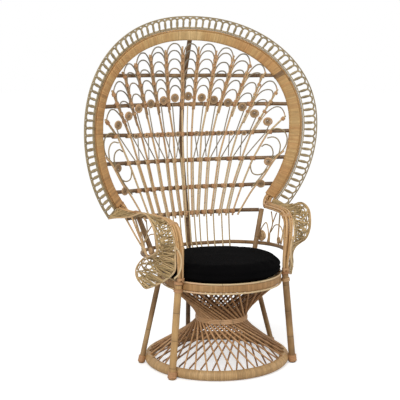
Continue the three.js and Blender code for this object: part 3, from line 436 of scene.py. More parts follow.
class Nodes:
    """Short names for the nodes that the materials share."""

    def __init__(self, tree):
        self.tree = tree

    def link(self, value, socket):
        if hasattr(value, "is_output"):
            self.tree.links.new(value, socket)
        else:
            socket.default_value = value

    def new(self, kind, inputs=(), output=0, **settings):
        """Adds a node with its settings and inputs, and gives back one of its outputs."""
        node = self.tree.nodes.new("ShaderNode" + kind)
        for key, value in settings.items():
            setattr(node, key, value)
        for key, value in dict(inputs).items():
            self.link(value, node.inputs[key])
        return node.outputs[output] if node.outputs else None

    def math(self, operation, a, b=0.0):
        return self.new("Math", {0: a, 1: b}, operation=operation)

    def times(self, a, b):
        return self.math("MULTIPLY", a, b)

    def plus(self, a, b):
        return self.math("ADD", a, b)

    def minus(self, a, b):
        return self.math("SUBTRACT", a, b)

    def attributes(self, *names):
        return [self.new("Attribute", (), "Fac", attribute_name=name) for name in names]

    def vector(self, x, y, z):
        return self.new("CombineXYZ", {0: x, 1: y, 2: z})

    def place(self):
        return self.new("TexCoord", (), "Object")

    def noise(self, vector, scale, detail=3.0):
        return self.new("TexNoise", {"Vector": vector, "Scale": scale, "Detail": detail,
                                     "Roughness": 0.55}, "Fac")

    def weave(self, scale):
        """Waves along x and y that cross as woven strips do."""
        split = self.tree.nodes.new("ShaderNodeSeparateXYZ")
        self.link(self.place(), split.inputs[0])
        return self.times(*(self.math("SINE", self.times(split.outputs[k], scale))
                            for k in (0, 1)))

    def ramp(self, factor, colors, first=0.0, last=1.0):
        """Blends through colours that are evenly spaced from first to last."""
        node = self.tree.nodes.new("ShaderNodeValToRGB")
        self.link(factor, node.inputs["Fac"])
        ramp = node.color_ramp
        while len(ramp.elements) < len(colors):
            ramp.elements.new(0.5)
        for element, position, color in zip(ramp.elements,
                                            linspace(first, last, len(colors)), colors):
            element.position = position
            element.color = (*color, 1)
        return node.outputs["Color"]

    def span(self, value, low, high, to_low, to_high):
        return self.new("MapRange", enumerate((value, low, high, to_low, to_high)))

    def spread(self, noise, to_low, to_high):
        """Stretches the middle of a noise, where most of it lies, between two values."""
        return self.span(noise, 0.3, 0.7, to_low, to_high)

    def shade(self, color, factor):
        """Multiplies a colour by a number."""
        return self.new("VectorMath", {0: color, "Scale": factor}, operation="SCALE")

    def bump(self, value, strength, distance):
        return self.new("Bump", {"Strength": strength, "Distance": distance, "Height": value},
                        "Normal")


def surface(n, bsdf, color, rough, normal, specular):
    for key, value in (("Base Color", color), ("Roughness", rough), ("Normal", normal),
                       ("Specular IOR Level", specular)):
        n.link(value, bsdf.inputs[key])


def cane_surface(n, bsdf, color, grain, rough, relief, strength):
    """The skin of cane: smoother where its grain is light, with a fine relief."""
    surface(n, bsdf, color, n.spread(grain, rough + 0.1, rough - 0.08),
            n.bump(relief, strength, 0.0006), CANE_SPECULAR)


def cane_material(name, colors, rough=0.5, joint=0.16, blotch=0.3):
    """Round cane: tones that differ from cane to cane, fibres along it, and dark joint rings."""
    material, n, bsdf = shader(name)
    tone, along, around = n.attributes("tone", "along", "around")
    ring = n.math("ABSOLUTE", n.minus(around, 0.5))
    grain = n.noise(n.vector(n.times(along, 9), n.times(ring, 26), n.times(tone, 40)), 1.0, 4.0)
    patch = n.noise(n.vector(n.times(along, 11), n.times(tone, 90), ring), 1.0, 2.0)
    mixed = n.plus(n.times(tone, 1 - blotch), n.times(n.spread(patch, 0, 1), blotch))
    color = n.ramp(mixed, colors)
    phase = n.math("FRACT", n.plus(n.math("DIVIDE", along, joint), n.times(tone, 7)))
    knot = n.math("LESS_THAN", phase, KNOT_WIDTH * MM / joint)
    after = n.span(phase, 0, 0.12, 0.9, 1.0)
    shading = n.times(n.spread(grain, 1 - FIBRE, 1 + FIBRE * 0.7), after)
    shading = n.times(shading, n.minus(1, n.times(knot, 0.45)))
    cane_surface(n, bsdf, n.shade(color, shading), grain, rough,
                 n.minus(grain, n.times(knot, 0.6)), 0.35)
    return material


def wound_material(name, colors, pitch, groove_shade=0.35):
    """A winding of split cane: each turn has a tone of its own, and the dark line beside it is
    painted shade in the groove between turns.
    """
    material, n, bsdf = shader(name)
    tone, along, around = n.attributes("tone", "along", "around")
    turns = n.math("DIVIDE", along, pitch * MM)
    member = n.math("FLOOR", n.times(tone, 31))
    own = n.new("TexWhiteNoise", {"W": n.plus(n.math("FLOOR", turns), n.times(member, 977))},
                "Value", noise_dimensions="1D")
    run = n.noise(n.vector(n.math("DIVIDE", along, RUN_LENGTH), n.times(tone, 50), 0.0), 1.0, 1.0)
    mixed = n.plus(n.span(run, 0.33, 0.67, 0, 0.3), n.times(own, 0.2))
    color = n.ramp(n.plus(mixed, n.times(tone, 0.5)), colors)
    across = n.noise(n.vector(n.times(turns, 0.9), n.times(around, 9), tone), 1.0, 4.0)
    # Darker at each turn's edge: painted shade in the groove between turns
    line = n.math("PINGPONG", turns, 0.5)
    shading = n.times(n.spread(across, 0.86, 1.1), n.span(line, 0.0, 0.14, 1 - groove_shade, 1.0))
    shading = n.times(shading, n.span(own, 0, 1, 0.88, 1.06))
    cane_surface(n, bsdf, n.shade(color, shading), across, 0.5,
                 n.plus(line, n.times(across, 0.5)), 0.3)
    return material


def cloth_material(name):
    """Black woven cloth with a fine even weave and a dusting of lighter fibres."""
    material, n, bsdf = shader(name)
    weave = n.weave(2600)
    lint = n.noise(n.place(), 900, 2.0)
    color = n.ramp(n.noise(n.place(), 9), CLOTH_COLORS, 0.3, 0.7)
    shading = n.plus(n.span(weave, -1, 1, 0.75, 1.2), n.span(lint, 0.62, 0.8, 0, 1.2))
    surface(n, bsdf, n.shade(color, shading), 0.95,
            n.bump(n.plus(weave, n.times(lint, 1.5)), 0.35, 0.0004), 0.01)
    bsdf.inputs["Sheen Weight"].default_value = 0.006
    bsdf.inputs["Sheen Roughness"].default_value = 0.6
    return material


GOLDEN = cane_material("golden_pole", [
    (0.27, 0.14, 0.05), (0.49, 0.28, 0.11), (0.61, 0.37, 0.155), (0.72, 0.46, 0.24),
], blotch=0.22)
LEG = cane_material("leg_pole", [
    (0.18, 0.1, 0.045), (0.46, 0.275, 0.115), (0.62, 0.385, 0.16),
], joint=0.115, blotch=0.45)
BROWN = cane_material("brown_pole", [
    (0.085, 0.046, 0.022), (0.2, 0.115, 0.055), (0.37, 0.235, 0.12),
], rough=0.42, joint=0.21, blotch=0.75)
TAWNY = cane_material("tawny_pole", [
    (0.17, 0.09, 0.038), (0.31, 0.18, 0.08), (0.46, 0.3, 0.14),
], rough=0.45, joint=0.14, blotch=0.7)
PALE = cane_material("pale_cane", [
    (0.38, 0.2, 0.085), (0.6, 0.39, 0.19), (0.68, 0.46, 0.25), (0.66, 0.5, 0.28), (0.7, 0.43, 0.25),
])
SLIM = cane_material("slim_cane", [
    (0.24, 0.2, 0.14), (0.36, 0.29, 0.19), (0.6, 0.45, 0.25), (0.68, 0.52, 0.31),
], blotch=0.15)
GREY = cane_material("grey_cane", [
    (0.24, 0.18, 0.1), (0.4, 0.31, 0.175), (0.55, 0.43, 0.25),
], rough=0.62, joint=0.3)
FLAP = cane_material("flap_cane", [
    (0.2, 0.13, 0.055), (0.38, 0.265, 0.12), (0.56, 0.4, 0.19), (0.66, 0.46, 0.235),
], rough=0.6, joint=0.3, blotch=0.15)
FEATHER = cane_material("feather_cane", [
    (0.17, 0.15, 0.115), (0.28, 0.235, 0.165), (0.4, 0.25, 0.13), (0.58, 0.35, 0.17),
    (0.66, 0.5, 0.27),
], blotch=0.15)
STRAND = cane_material("base_cane", [
    (0.13, 0.06, 0.024), (0.34, 0.175, 0.075), (0.54, 0.31, 0.145), (0.7, 0.45, 0.25),
])
COIL = cane_material("coil_cane", [
    (0.15, 0.09, 0.045), (0.46, 0.3, 0.16), (0.64, 0.38, 0.19),
], blotch=0.12)
WRAP = wound_material("wound_band", [
    (0.32, 0.17, 0.06), (0.57, 0.3, 0.11), (0.57, 0.36, 0.145), (0.7, 0.49, 0.235),
], 5)
RING_WRAP = wound_material("wound_ring", [
    (0.36, 0.21, 0.085), (0.52, 0.32, 0.14), (0.62, 0.41, 0.2),
], 7)
SEAT_WRAP = wound_material("wound_seat", [
    (0.25, 0.13, 0.05), (0.42, 0.23, 0.09), (0.54, 0.33, 0.145),
], 5)
TIE = wound_material("ties", [(0.34, 0.15, 0.06), (0.56, 0.3, 0.14), (0.6, 0.42, 0.22)], 3, groove_shade=0.5)
DARK_TIE = wound_material("dark_ties", [(0.2, 0.11, 0.05), (0.32, 0.19, 0.085)], 4)
CLOTH = cloth_material("black_cloth")


# Rim: lace, edge cane and wound band

def rim_tone_and_shade(share):
    """How light the band is, from the lower right end over the top to the lower left end: runs of
    its own colour, and darker towards the left end as painted shade.
    """
    return interp(share, BAND_TONE_SHARES, BAND_TONES_AND_SHADE)


def make_rim():
    lace = Mesh()
    count = int(round(RIM_LENGTH / LACE_PITCH))
    pitch = RIM_LENGTH / count
    line = smooth(np.vstack([LACE_LOOP[::-1] * [-1, 1], LACE_LOOP[1:]]), 30)
    for i in range(count):
        s = (i + 0.5 + line[:, 0]) * pitch
        depth = 2.4 * clip(line[:, 0] / 0.45, -1, 1)
        keep = (s >= 0) & (s <= RIM_LENGTH)
        jitter = 0.7 * rng.standard_normal()
        tone = clip(rng.uniform(0.2, 1) * (1 - 0.35 * (i / count) ** 2), 0, 1)
        lace.tube(dish(rim_points(s + jitter, line[:, 1], depth)[keep]), LACE_CANE, sides=6,
                  tone=tone * 0.8)
    s = linspace(0, RIM_LENGTH, 260)
    for inset, width, tone in RIM_CANES:
        lace.tube(dish(rim_points(s, inset, 0)), width, sides=7, tone=tone)
    lace.build("rim_lace_canes", GREY, ["rim_lace"], "grey_cane")

    edge = Mesh()
    # The edge cane takes the band's tones, including their painted shade at the left end
    edge.tube(rim_points(s, EDGE_INSET, 0), EDGE_CANE, sides=10, facing=TOWARDS_SITTER,
              tone=0.35 * rim_tone_and_shade(s / RIM_LENGTH), bend=dish)
    edge.build("band_edge_round_cane", GOLDEN, ["band_edge_cane"], "brown_pole")

    band = Mesh()
    s = linspace(0, RIM_LENGTH, 1200)
    band.wound(rim_points(s, BAND_INSET, 0), *FAN_WINDING, facing=TOWARDS_SITTER, sides=18,
               tone=rim_tone_and_shade(s / RIM_LENGTH), bend=dish)
    band.build("fan_band_wound", WRAP, ["fan_band"], "golden_cane")

    # The joint of the band at the right end of the highest rung
    ties = Mesh()
    top = np.argmin(np.abs(RIM[: len(RIM) // 2, 1] - height(RUNGS[0][0]) - 55))
    s = linspace(RIM_S[top] - 13, RIM_S[top] + 13, 20)
    ties.wound(rim_points(s, BAND_INSET, 0), *FAN_JOINT, facing=TOWARDS_SITTER, tone=0.4,
               bend=dish)
    ties.build("band_dark_ties", DARK_TIE, slot="brown_pole")


# Back

def pair(piece, end=""):
    """The names of the left and the right one of a piece."""
    return [f"{piece}_{side}{end}" for side in ("left", "right")]


def pairs(piece, numbers):
    return [name for k in numbers for name in pair(piece, f"_{k}")]


def stake_line(index):
    across, top = STAKES[index]
    return np.array([*zip(across, STAKE_HEIGHTS), top])


def stake_across(index, share):
    line = stake_line(index)
    return interp(share, line[:, 1], line[:, 0]) * FAN_HALF


def bent(points, step=14):
    """A flat line made even, then dished."""
    return dish(even(real(points), step))


def make_rungs():
    rungs = Mesh()
    side = linspace(-1, 1, 60)
    for at, half, sag in RUNGS:
        z = height(at - sag * (1 - side**2)) + 0.8 * sin(side * 9 + at * 40)
        swell = 1 + 0.02 * sin(linspace(0, 31, 60) + at * 50)
        rungs.tube(dish(columns(side * half * FAN_HALF, z, RUNG_DEPTH)), RUNG, sides=10,
                   scale=swell)
    rungs.build("back_rungs", BROWN, [f"rung_{k}" for k in range(1, 7)], "brown_pole")


def drawn_in(outer, pitch, turn):
    """The radius of a coil: a whole outer turn, then turns that draw in."""
    return outer - pitch * np.maximum(turn - FIRST_TURN, 0)


def coil(mesh, x, z, diameter, cane, depth, start, way, tone):
    """A flat coil of cane on the back, darker towards its middle as painted shade between the
    drawn-in turns, with a dark dot in its middle.
    """
    outer = (diameter - cane) / 2
    pitch = cane * COIL_PITCH
    last = FIRST_TURN + (outer - cane * 0.45) / pitch
    turn = linspace(0, last, int(last * 20))
    angle = start + way * TURN * turn
    radius = drawn_in(outer, pitch, turn)
    line = columns(x + radius * cos(angle), z + radius * sin(angle), depth)
    # Turns darken inwards: painted shade between the tight inner turns, over the coil's own tone
    shade = (0.4 + 0.6 * tone) * interp(turn, [0, FIRST_TURN, 1.6, last], [1, 0.95, 0.6, 0.1])
    mesh.tube(dish(line), cane, sides=7, tone=shade)
    dot = [[x, z, depth + cane * k] for k in (-0.45, 0.1, 0.4)]
    mesh.tube(dish(dot), [cane * k for k in (1.3, 1.3, 0.7)], sides=8, tone=0.0)


def crossing_ties(mesh, x, share, tone):
    """Turns of cane round a rung where a stake crosses it, and over the stake."""
    z = height(share)
    run = [[x - 11.5, z, RUNG_DEPTH], [x + 11.5, z, RUNG_DEPTH]]
    over = [[x - 3, z - 8, STAKE_DEPTH], [x + 3, z + 8, STAKE_DEPTH]]
    more = {"ridge": 0.8, "sides": 12, "tone": tone}
    mesh.wound(dish(run), *RUNG_TIE, power=2.2, **more)
    mesh.wound(dish(over), *STAKE_TIE, power=2.6, facing=FORWARD, **more)


def make_stakes():
    stakes, slim, coils, ties = Mesh(), Mesh(), Mesh(), Mesh()
    for k, (_, (_, stake_top)) in enumerate(STAKES):
        line = bent(flat(stake_line(k), STAKE_DEPTH))
        high = grown(line[:, 2], height(0.55), 200)
        for sign, tone in ((1, rng.uniform(0.35, 1)), (-1, rng.uniform(0, 0.75))):
            stakes.tube(line * [sign, 1, 1], *STAKE, sides=8, facing=FORWARD,
                        tone=tone * (1 - 0.35 * high))
            for share, _, sag in RUNGS[1:]:
                if STAKE_HEIGHTS[0] < share < stake_top:
                    x = stake_across(k, share) * sign
                    crossing_ties(ties, x, share - sag * (1 - (x / FAN_HALF) ** 2),
                                  rng.uniform(0, 1))
    crossing = STAKE_HEIGHTS[4]
    for k, (across, at) in enumerate(ROSETTES):
        beside = [stake_across(k - 1, share) + STEM_GAP if k else 0 for share in LOWER_HEIGHTS]
        seat_x, seat_z = beside[0] * 0.8, SEAT + 4
        seat_y = math.sqrt(SEAT_RADIUS**2 - seat_x**2) - SEAT_SHIFT
        points = [[seat_x, seat_z, dish([[seat_x, seat_z, 0]])[0, 1] - seat_y]]
        points += [[x, height(share), STAKE_DEPTH] for x, share in zip(beside, LOWER_HEIGHTS)]
        if k:
            points.append([stake_across(k, crossing) - STEM_GAP, height(crossing), STAKE_DEPTH])
        x, z = across * FAN_HALF, height(at)
        low = np.array(points[-1])
        near = low + (np.array([x, z, STAKE_DEPTH]) - low) * 0.86
        near[0] += 12 if k else 0
        line = bent([*points, near], 12)
        above = grown(line[:, 2], height(LOWER_HEIGHTS[3]), 25)
        start = -0.5 if k else -math.pi / 2
        signs = (1, -1) if k else (1,)
        for sign in signs:
            base, top = rng.uniform(0.6, 1), rng.uniform(0, 0.35)
            top = top if k else 0.9
            slim.tube(line * [sign, 1, 1], 6.8 - 1.2 * above, sides=7,
                      tone=base + (top - base) * above)
        for sign, shade in zip(signs, rng.random(2)):
            coil(coils, sign * x, z, *ROSETTE, STAKE_DEPTH + 2,
                 start if sign > 0 else math.pi - start, sign, shade)
    # Small coils on the third rung, each on the end of a thin cane that crosses the rising one
    for k in range(1, len(STAKES) - 1):
        x = (stake_across(k - 1, crossing) + stake_across(k, crossing)) / 2
        z = height(crossing) + 2
        foot = [stake_across(k, 0.42) - 9, height(0.42), STAKE_DEPTH - 3]
        tail = np.array([[x - 9, z - 3, STAKE_DEPTH + 1], foot])
        for sign in (1, -1):
            slim.tube(bent(tail * [sign, 1, 1]), SMALL_CANE, sides=6, tone=rng.uniform(0, 0.3))
            coil(coils, sign * x, z, *SMALL_COIL, STAKE_DEPTH - 1, math.pi if sign > 0 else 0,
                 -sign, rng.random())
    stakes.build("back_stakes", PALE, pairs("stake", range(7)), "pale_cane")
    slim.build("back_slim_canes", SLIM, ["rosette_centre", *pairs("rosette", range(1, 7))],
               "pale_cane")
    coils.build("rosette_coils", COIL, slot="pale_cane")
    ties.build("rung_ties", TIE, slot="golden_cane")


def upright(index, share, edge):
    last = len(STAKES) - 1
    if index > last:
        return stake_across(index - last - 1, share) + edge * BUNDLE / 2
    return -stake_across(last - index, share) + edge * BUNDLE / 2


def make_feathers():
    arches, ties = Mesh(), Mesh()
    last = len(STAKES) - 1
    feet = {}
    for column in range(2 * last + 1):
        tops = ARCH_TOPS[abs(column - last)]
        for order, top in enumerate(tops):
            foot = top - ARCH_RISE
            following = tops[order + 1] if order + 1 < len(tops) else top - 0.05
            tail = following - ARCH_RISE - 0.004
            angle = linspace(math.pi, 0, 21)
            share = foot + ARCH_RISE * sin(angle) ** 0.9
            left = upright(column, share, 1) - ARCH_CANE / 2
            right = upright(column + 1, share, -1) + ARCH_CANE / 2
            half = (right - left) / 2 - ARCH_CANE * 0.7 * sin(angle)
            x = (left + right) / 2 + half * signed(cos(angle), 0.86)
            curve = columns(x, height(share) - ARCH_CANE / 2, ARCH_DEPTH)
            legs = []
            for side, edge in ((column, 1), (column + 1, -1)):
                down = linspace(foot - 0.004, tail, 5)
                legs.append(columns(upright(side, down, edge) - edge * ARCH_CANE / 2,
                                    height(down) - ARCH_CANE / 2,
                                    ARCH_DEPTH - linspace(0, 1, 5) * 3.4))
                feet.setdefault(side, []).append(foot)
            line = np.vstack([legs[0][::-1], curve, legs[1]])
            grey = rng.uniform(0, 0.3)
            ends = [clip(0.72 + 0.42 * (side - last) / last + rng.uniform(-0.1, 0.1), 0.5, 1.2)
                    for side in (column, column + 1)]
            arch = clip(sin(angle) * 1.5, 0, 1)
            side_tone = np.where(cos(angle) < 0, ends[0], ends[1])
            tone = np.concatenate([np.full(5, ends[0]), side_tone + (grey - side_tone) * arch,
                                   np.full(5, ends[1])])
            arches.tube(dish(line), ARCH_CANE + 0.8, sides=6, tone=tone)
    for side, shares in feet.items():
        merged = []
        for share in sorted(shares):
            if not merged or share - merged[-1] > 0.012:
                merged.append(share)
        for share in merged:
            ends = np.array([share - 0.012, share - 0.002])
            line = dish(columns(upright(side, ends, 0), height(ends), -1.2))
            ties.wound(line, *ARCH_TIE, ridge=0.5, facing=FORWARD, sides=12, power=2.6,
                       tone=rng.random())
    arches.build("feather_arches", FEATHER, ["feather_lattice"], "grey_cane")
    ties.build("feather_ties", TIE, slot="golden_cane")


def make_scrolls():
    thick, thin, coils = Mesh(), Mesh(), Mesh()
    for key, places in SCROLLS.items():
        line = dish(smooth(flat(places, STAKE_DEPTH), 28))
        if key == "diagonal":
            both(thick.tube, line, *STAKE, sides=8)
        else:
            both(thin.tube, line, SCROLL_CANE, sides=7)
    for across, share in SCROLL_ROSETTES:
        for sign in (1, -1):
            coil(coils, sign * across * FAN_HALF, height(share), *SCROLL_COIL, STAKE_DEPTH + 2,
                 0.5, sign, rng.random())
    thick.build("scroll_diagonals", PALE, pair("side_scroll"), "pale_cane")
    thin.build("scroll_arches", GREY, slot="grey_cane")
    coils.build("scroll_coils", COIL, slot="pale_cane")


# Seat and base

def circle(radius, z, centre_y, count):
    return round_axis(radius, np.arange(count) / count * TURN, z, centre_y)


def closed_wound(mesh, radius, z, centre_y, width, thick, pitch, ridge, sides, power, tone):
    """A ring that is wound all the way round."""
    points = circle(radius, z, centre_y, 4 * int(round(TURN * radius / pitch)))
    mesh.tube(points, width, thick, sides=sides, facing=(points - [0, centre_y, 0]) * [1, 1, 0],
              closed=True, power=power, ridges=turns(ridge, len(points)), tone=tone)


def make_seat():
    band = Mesh()
    closed_wound(band, SEAT_RADIUS - 12.5, (SEAT_TOP + SEAT_LOW) / 2, -SEAT_SHIFT, *SEAT_WINDING,
                 ridge=0.6, sides=16, power=4.5, tone=0.5)
    band.build("seat_band_wound", SEAT_WRAP, ["seat_ring"], "golden_cane")
    canes = Mesh()
    for z in (SEAT_TOP + 3.2, SEAT_LOW - 3.2):
        canes.tube(circle(SEAT_RADIUS - 2.6, z, -SEAT_SHIFT, 120), SEAT_CANE, sides=10,
                   closed=True, tone=0.95)
    canes.build("seat_round_edge_canes", PALE, ["seat_edge_cane_top", "seat_edge_cane_bottom"],
                "pale_cane")


def make_deck():
    """The woven seat under the cushion: strips that pass over and under each other."""
    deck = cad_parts["seat_deck"]
    material, n, bsdf = shader("seat_weave")
    weave = n.weave(420)
    color = n.ramp(n.span(weave, -1, 1, 0, 1), DECK_COLORS, 0.1, 0.9)
    grain = n.noise(n.place(), 60, 4.0)
    surface(n, bsdf, n.shade(color, n.spread(grain, 0.8, 1.1)), 0.7, n.bump(weave, 0.5, 0.002),
            0.5)
    deck.data.materials.clear()
    deck.data.materials.append(material)


def strand_points(inset, turn, index):
    angle = TURN * index / STRANDS
    return (round_axis(STRAND_TOP - inset, angle - turn * TWIST, SEAT_LOW, -SEAT_SHIFT),
            round_axis(WAIST_RADIUS - inset, angle, WAIST, -SEAT_SHIFT),
            round_axis(BASE_RADIUS - inset, angle + turn * TWIST, BASE_DIAMETER - 1))


def make_base():
    # Inner strands get darker tones as painted shade inside the base
    for name, inset, turn, node, tones_and_shade in (
        ("base_outer_canes", 0, 1, "hourglass_outer_strands", (0.3, 0.85)),
        ("base_inner_canes", INNER_INSET, -1, "hourglass_inner_strands", (0, 0.35)),
    ):
        canes = Mesh()
        for index in range(STRANDS):
            top, waist, foot = strand_points(inset, turn, index)
            line = smooth([top, waist + (top - waist) * 0.05, waist + (foot - waist) * 0.05, foot],
                          26)
            above = grown(line[:, 2], WAIST, SEAT_LOW - WAIST)
            stout = STRAND_DIAMETER * (1 + 0.36 * np.exp(-(((line[:, 2] - WAIST) / 130) ** 2)))
            # Darker above the waist as painted shade under the seat
            canes.tube(line, stout, sides=8, tone=rng.uniform(*tones_and_shade) * (1 - 0.45 * above))
        slot = "golden_cane" if turn > 0 else "reddish_cane"
        canes.build(name, STRAND, [node], slot)
    ties = Mesh()
    for z, lift in ((WAIST - 4.8, 7.2), (WAIST + 2.2, 7.6), (WAIST + 9, 6.4)):
        ties.tube(circle(WAIST_RADIUS + lift, z, -SEAT_SHIFT, 90), WAIST_CANE, sides=8,
                  closed=True, tone=1)
    ties.build("waist_ring_canes", STRAND, slot="golden_cane")
    ring = Mesh()
    closed_wound(ring, BASE_RADIUS, BASE_DIAMETER / 2, 0, *BASE_WINDING, ridge=0.7, sides=20,
                 power=2.0, tone=0.6)
    ring.build("base_ring_wound", RING_WRAP, ["base_ring"], "golden_cane")


# Legs and poles

def leaning(diameter, angle, knees):
    """A straight pole from the floor past the base ring to its first knee, then on."""
    lean = round_axis(LEAN_RADIUS + diameter / 2, angle, LEAN_HEIGHT)
    knee = real(knees[0])
    foot = lean + (knee - lean) * (-LEAN_HEIGHT / (knee[2] - LEAN_HEIGHT))
    return np.array([foot, *knees], float)


def on_seat(radius, degrees, z):
    return round_axis(radius, math.radians(degrees), z, -SEAT_SHIFT)


def arm_place(shares):
    x, y, z = np.moveaxis(real(shares), -1, 0)
    return columns(x * FAN_HALF, y * SEAT_RADIUS - SEAT_SHIFT, SEAT + z * ARM_RISE)


def pole(mesh, line, diameter, tones):
    """A pole with slightly raised joints, and its mirror image."""
    points = even(line, 11)
    s = lengths(points)
    scale = 1 + 0.05 * np.exp(-(((s + 60) % 190 - 95) / 5.0) ** 2)
    scale *= 1 + 0.012 * sin(s / 37)
    for sign, tone in zip((1, -1), tones):
        mesh.tube(points * [sign, 1, 1], diameter, sides=14, scale=scale, tone=tone)


def bindings(mesh, line, size, tone=None):
    both(mesh.wound, line, size, size, 5, ridge=1.0, sides=12, power=2.6, tone=tone)


def make_legs():
    legs, poles, ties = Mesh(), Mesh(), Mesh()
    leg = leaning(30, math.radians(58), [on_seat(272.9, 64.5, SEAT)])
    pole(legs, leg, LEG_POLE, (0.0, 0.8))
    side = leaning(23, math.radians(105.4), [on_seat(269, 124, 382.7), arm_place(POLE_TOP)])
    corners = [side[0], side[0] * 0.06 + side[1] * 0.94, side[1],
               side[1] * 0.94 + side[2] * 0.06, side[2]]
    pole(poles, np.array(corners), SIDE_POLE, (0.75, 0.85))
    heights = [0.055] + [at for at, *_ in reversed(RUNGS)]
    spine = [[-SPINE_BOW * sin(math.pi * grown(share, 0.25, 0.6)), height(share), SPINE_DEPTH]
             for share in heights]
    spine.append([0, height(0.915), -20.3])
    spine = leaning(22, math.pi, list(dish(spine)))
    dark = Mesh()
    dark.tube(even(spine, 12), SPINE_POLE, sides=12, tone=0.2)
    foot, top = leg
    way = unit(foot - top)
    for z in (400, 368):
        at = top + way * (top[2] - z) / -way[2]
        bindings(ties, [at - way * 7, at + way * 7], 34)
    for line, size in ((leg, 35), (side, 28)):
        way = unit(line[1] - line[0])
        bindings(ties, [line[0] + way * 5, line[0] + way * 33], size, 0.2)
    legs.build("front_legs", LEG, pair("front_leg"), "golden_cane")
    poles.build("side_poles", TAWNY, pair("side_pole"), "brown_pole")
    dark.build("dark_spine_pole", BROWN, ["spine_pole"], "brown_pole")
    ties.build("leg_ties", TIE, slot="golden_cane")


def make_hoop():
    right = arm_place(HOOP)
    line = smooth(np.vstack([flip(right[1:])[::-1], right]), 110)
    hoop = Mesh()
    hoop.tube(line, HOOP_CANE, sides=10, facing=UP)
    hoop.build("hoop_rung", TAWNY, ["rung_7"], "brown_pole")


# Arms

def past_rim(inset, distance):
    end = rim_points([0], inset, 0)
    tangent = RIM_TANGENT[0]
    return dish(end)[0] + unit(np.array([-tangent[0], 0, -tangent[1]])) * distance


def make_arm_bands():
    """Long canes side by side: the fan's band runs on as the arm and bends down as the post."""
    centre = np.array([past_rim(BAND_INSET, 0.3), past_rim(BAND_INSET, 8),
                       *(arm_place(at) for at, _, _ in ARM_BAND)])
    facings = np.array([(0, -1, 0), (0, -1, 0), *(f for _, f, _ in ARM_BAND)], float)
    widths = np.array([1, 1, *(w for _, _, w in ARM_BAND)], float)
    t = linspace(0, 1, 90)
    line = spline(centre, t)
    facing = unit(spline(facings, t))
    width = interp(t * (len(widths) - 1), range(len(widths)), widths)
    tangent = unit(np.gradient(line, axis=0))
    facing = square(facing, tangent)
    side = np.cross(facing, tangent)
    canes, ties = Mesh(), Mesh()
    for k, (offset, lift, size, tone) in enumerate(ARM_TOP_CANES):
        drift = 1.6 * sin(t * 9 + k * 2.1)
        points = line + side * (offset * width + drift)[:, None] + facing * lift
        both(canes.tube, points, size * (0.6 + 0.4 * width), sides=9, facing=facing, tone=tone)
    for offset, tone in ARM_LOW_CANES:
        points = line + side * (offset * width)[:, None] - facing * 6
        both(canes.tube, points, 9.5 * (0.55 + 0.45 * width), sides=7, facing=facing, tone=tone)
    for at in ARM_TIES:
        i = int(at * 89)
        piece = even(line[max(0, i - 1):i + 2], 3)
        both(ties.wound, piece, 43 * width[i], 19, 5, ridge=0.8, facing=facing[i], sides=14,
             power=3)
    canes.build("arm_canes", GOLDEN, pair("arm_band"), "golden_cane")
    ties.build("arm_ties", TIE, slot="golden_cane")


def lace_sheet():
    inner = np.vstack([past_rim(LACE_WIDTH, 3.9), arm_place(LACE_INNER)])
    outer = np.vstack([past_rim(0, 3.9), arm_place(LACE_OUTER)])

    def between(along, across):
        a, b = spline(inner, along), spline(outer, along)
        return a + (b - a) * real(across)[..., None]

    def lifted(along, across, depth):
        probe = 0.02
        ahead = between(clip(along + probe, 0, 1), across)
        behind = between(clip(along - probe, 0, 1), across)
        ones = np.ones_like(along)
        normal = unit(np.cross(ahead - behind, between(along, ones) - between(along, 0 * ones)))
        return between(along, across) + normal * real(depth)[..., None]

    return lifted


def make_arm_lace():
    """Arches of cane that overlap so far that their legs cross as a lattice."""
    lifted = lace_sheet()
    lace, rims = Mesh(), Mesh()
    angle = linspace(math.pi, 0, 36)
    for i in range(ARM_LOOPS):
        mid = ((i + 0.5) / ARM_LOOPS) ** 1.3
        spread = interp(mid, [0, 0.1, 0.3, 0.8, 1], [0.7, 1.8, 3.2, 2.8, 1.4])
        for reach, part, lift in ARM_ARCHES:
            along = mid + part * spread / ARM_LOOPS * cos(angle)
            across = LACE_START + (reach - LACE_START) * sin(angle) ** 0.62
            lean = 0.035 if (i + (part < 1)) % 2 else -0.035
            along = along + lean * (across - 0.4)
            along = clip(along + 0.004 * rng.standard_normal(), 0.001, 0.999)
            depth = 2.3 * cos(angle) + lift
            both(lace.tube, lifted(along, across, depth), FLAP_CANE, sides=6,
                 tone=rng.uniform(0, 1))
    t = linspace(0, 1, 120)
    for across, width, tone in ARM_EDGES:
        both(rims.tube, lifted(t, np.full(120, across), 0 * t), width, sides=7, tone=tone)
    ends = lifted(np.array([0.2, 0.68]), np.array([0.96, 0.96]), np.zeros(2))
    both(rims.tube, even(ends, 12), 9, sides=8, tone=0.1)
    tip = lifted(np.array([0.999, 0.999]), np.array([0.02, 0.98]), np.zeros(2))
    both(rims.tube, even(tip, 4), 6.5, sides=7, tone=0.4)
    for points, width, tone in ARM_CANES:
        both(rims.tube, smooth(points, 24), width, sides=8, tone=tone)
    lace.build("arm_lace_canes", FLAP, pair("arm_lace"), "grey_cane")
    rims.build("arm_lace_edges", PALE, slot="grey_cane")


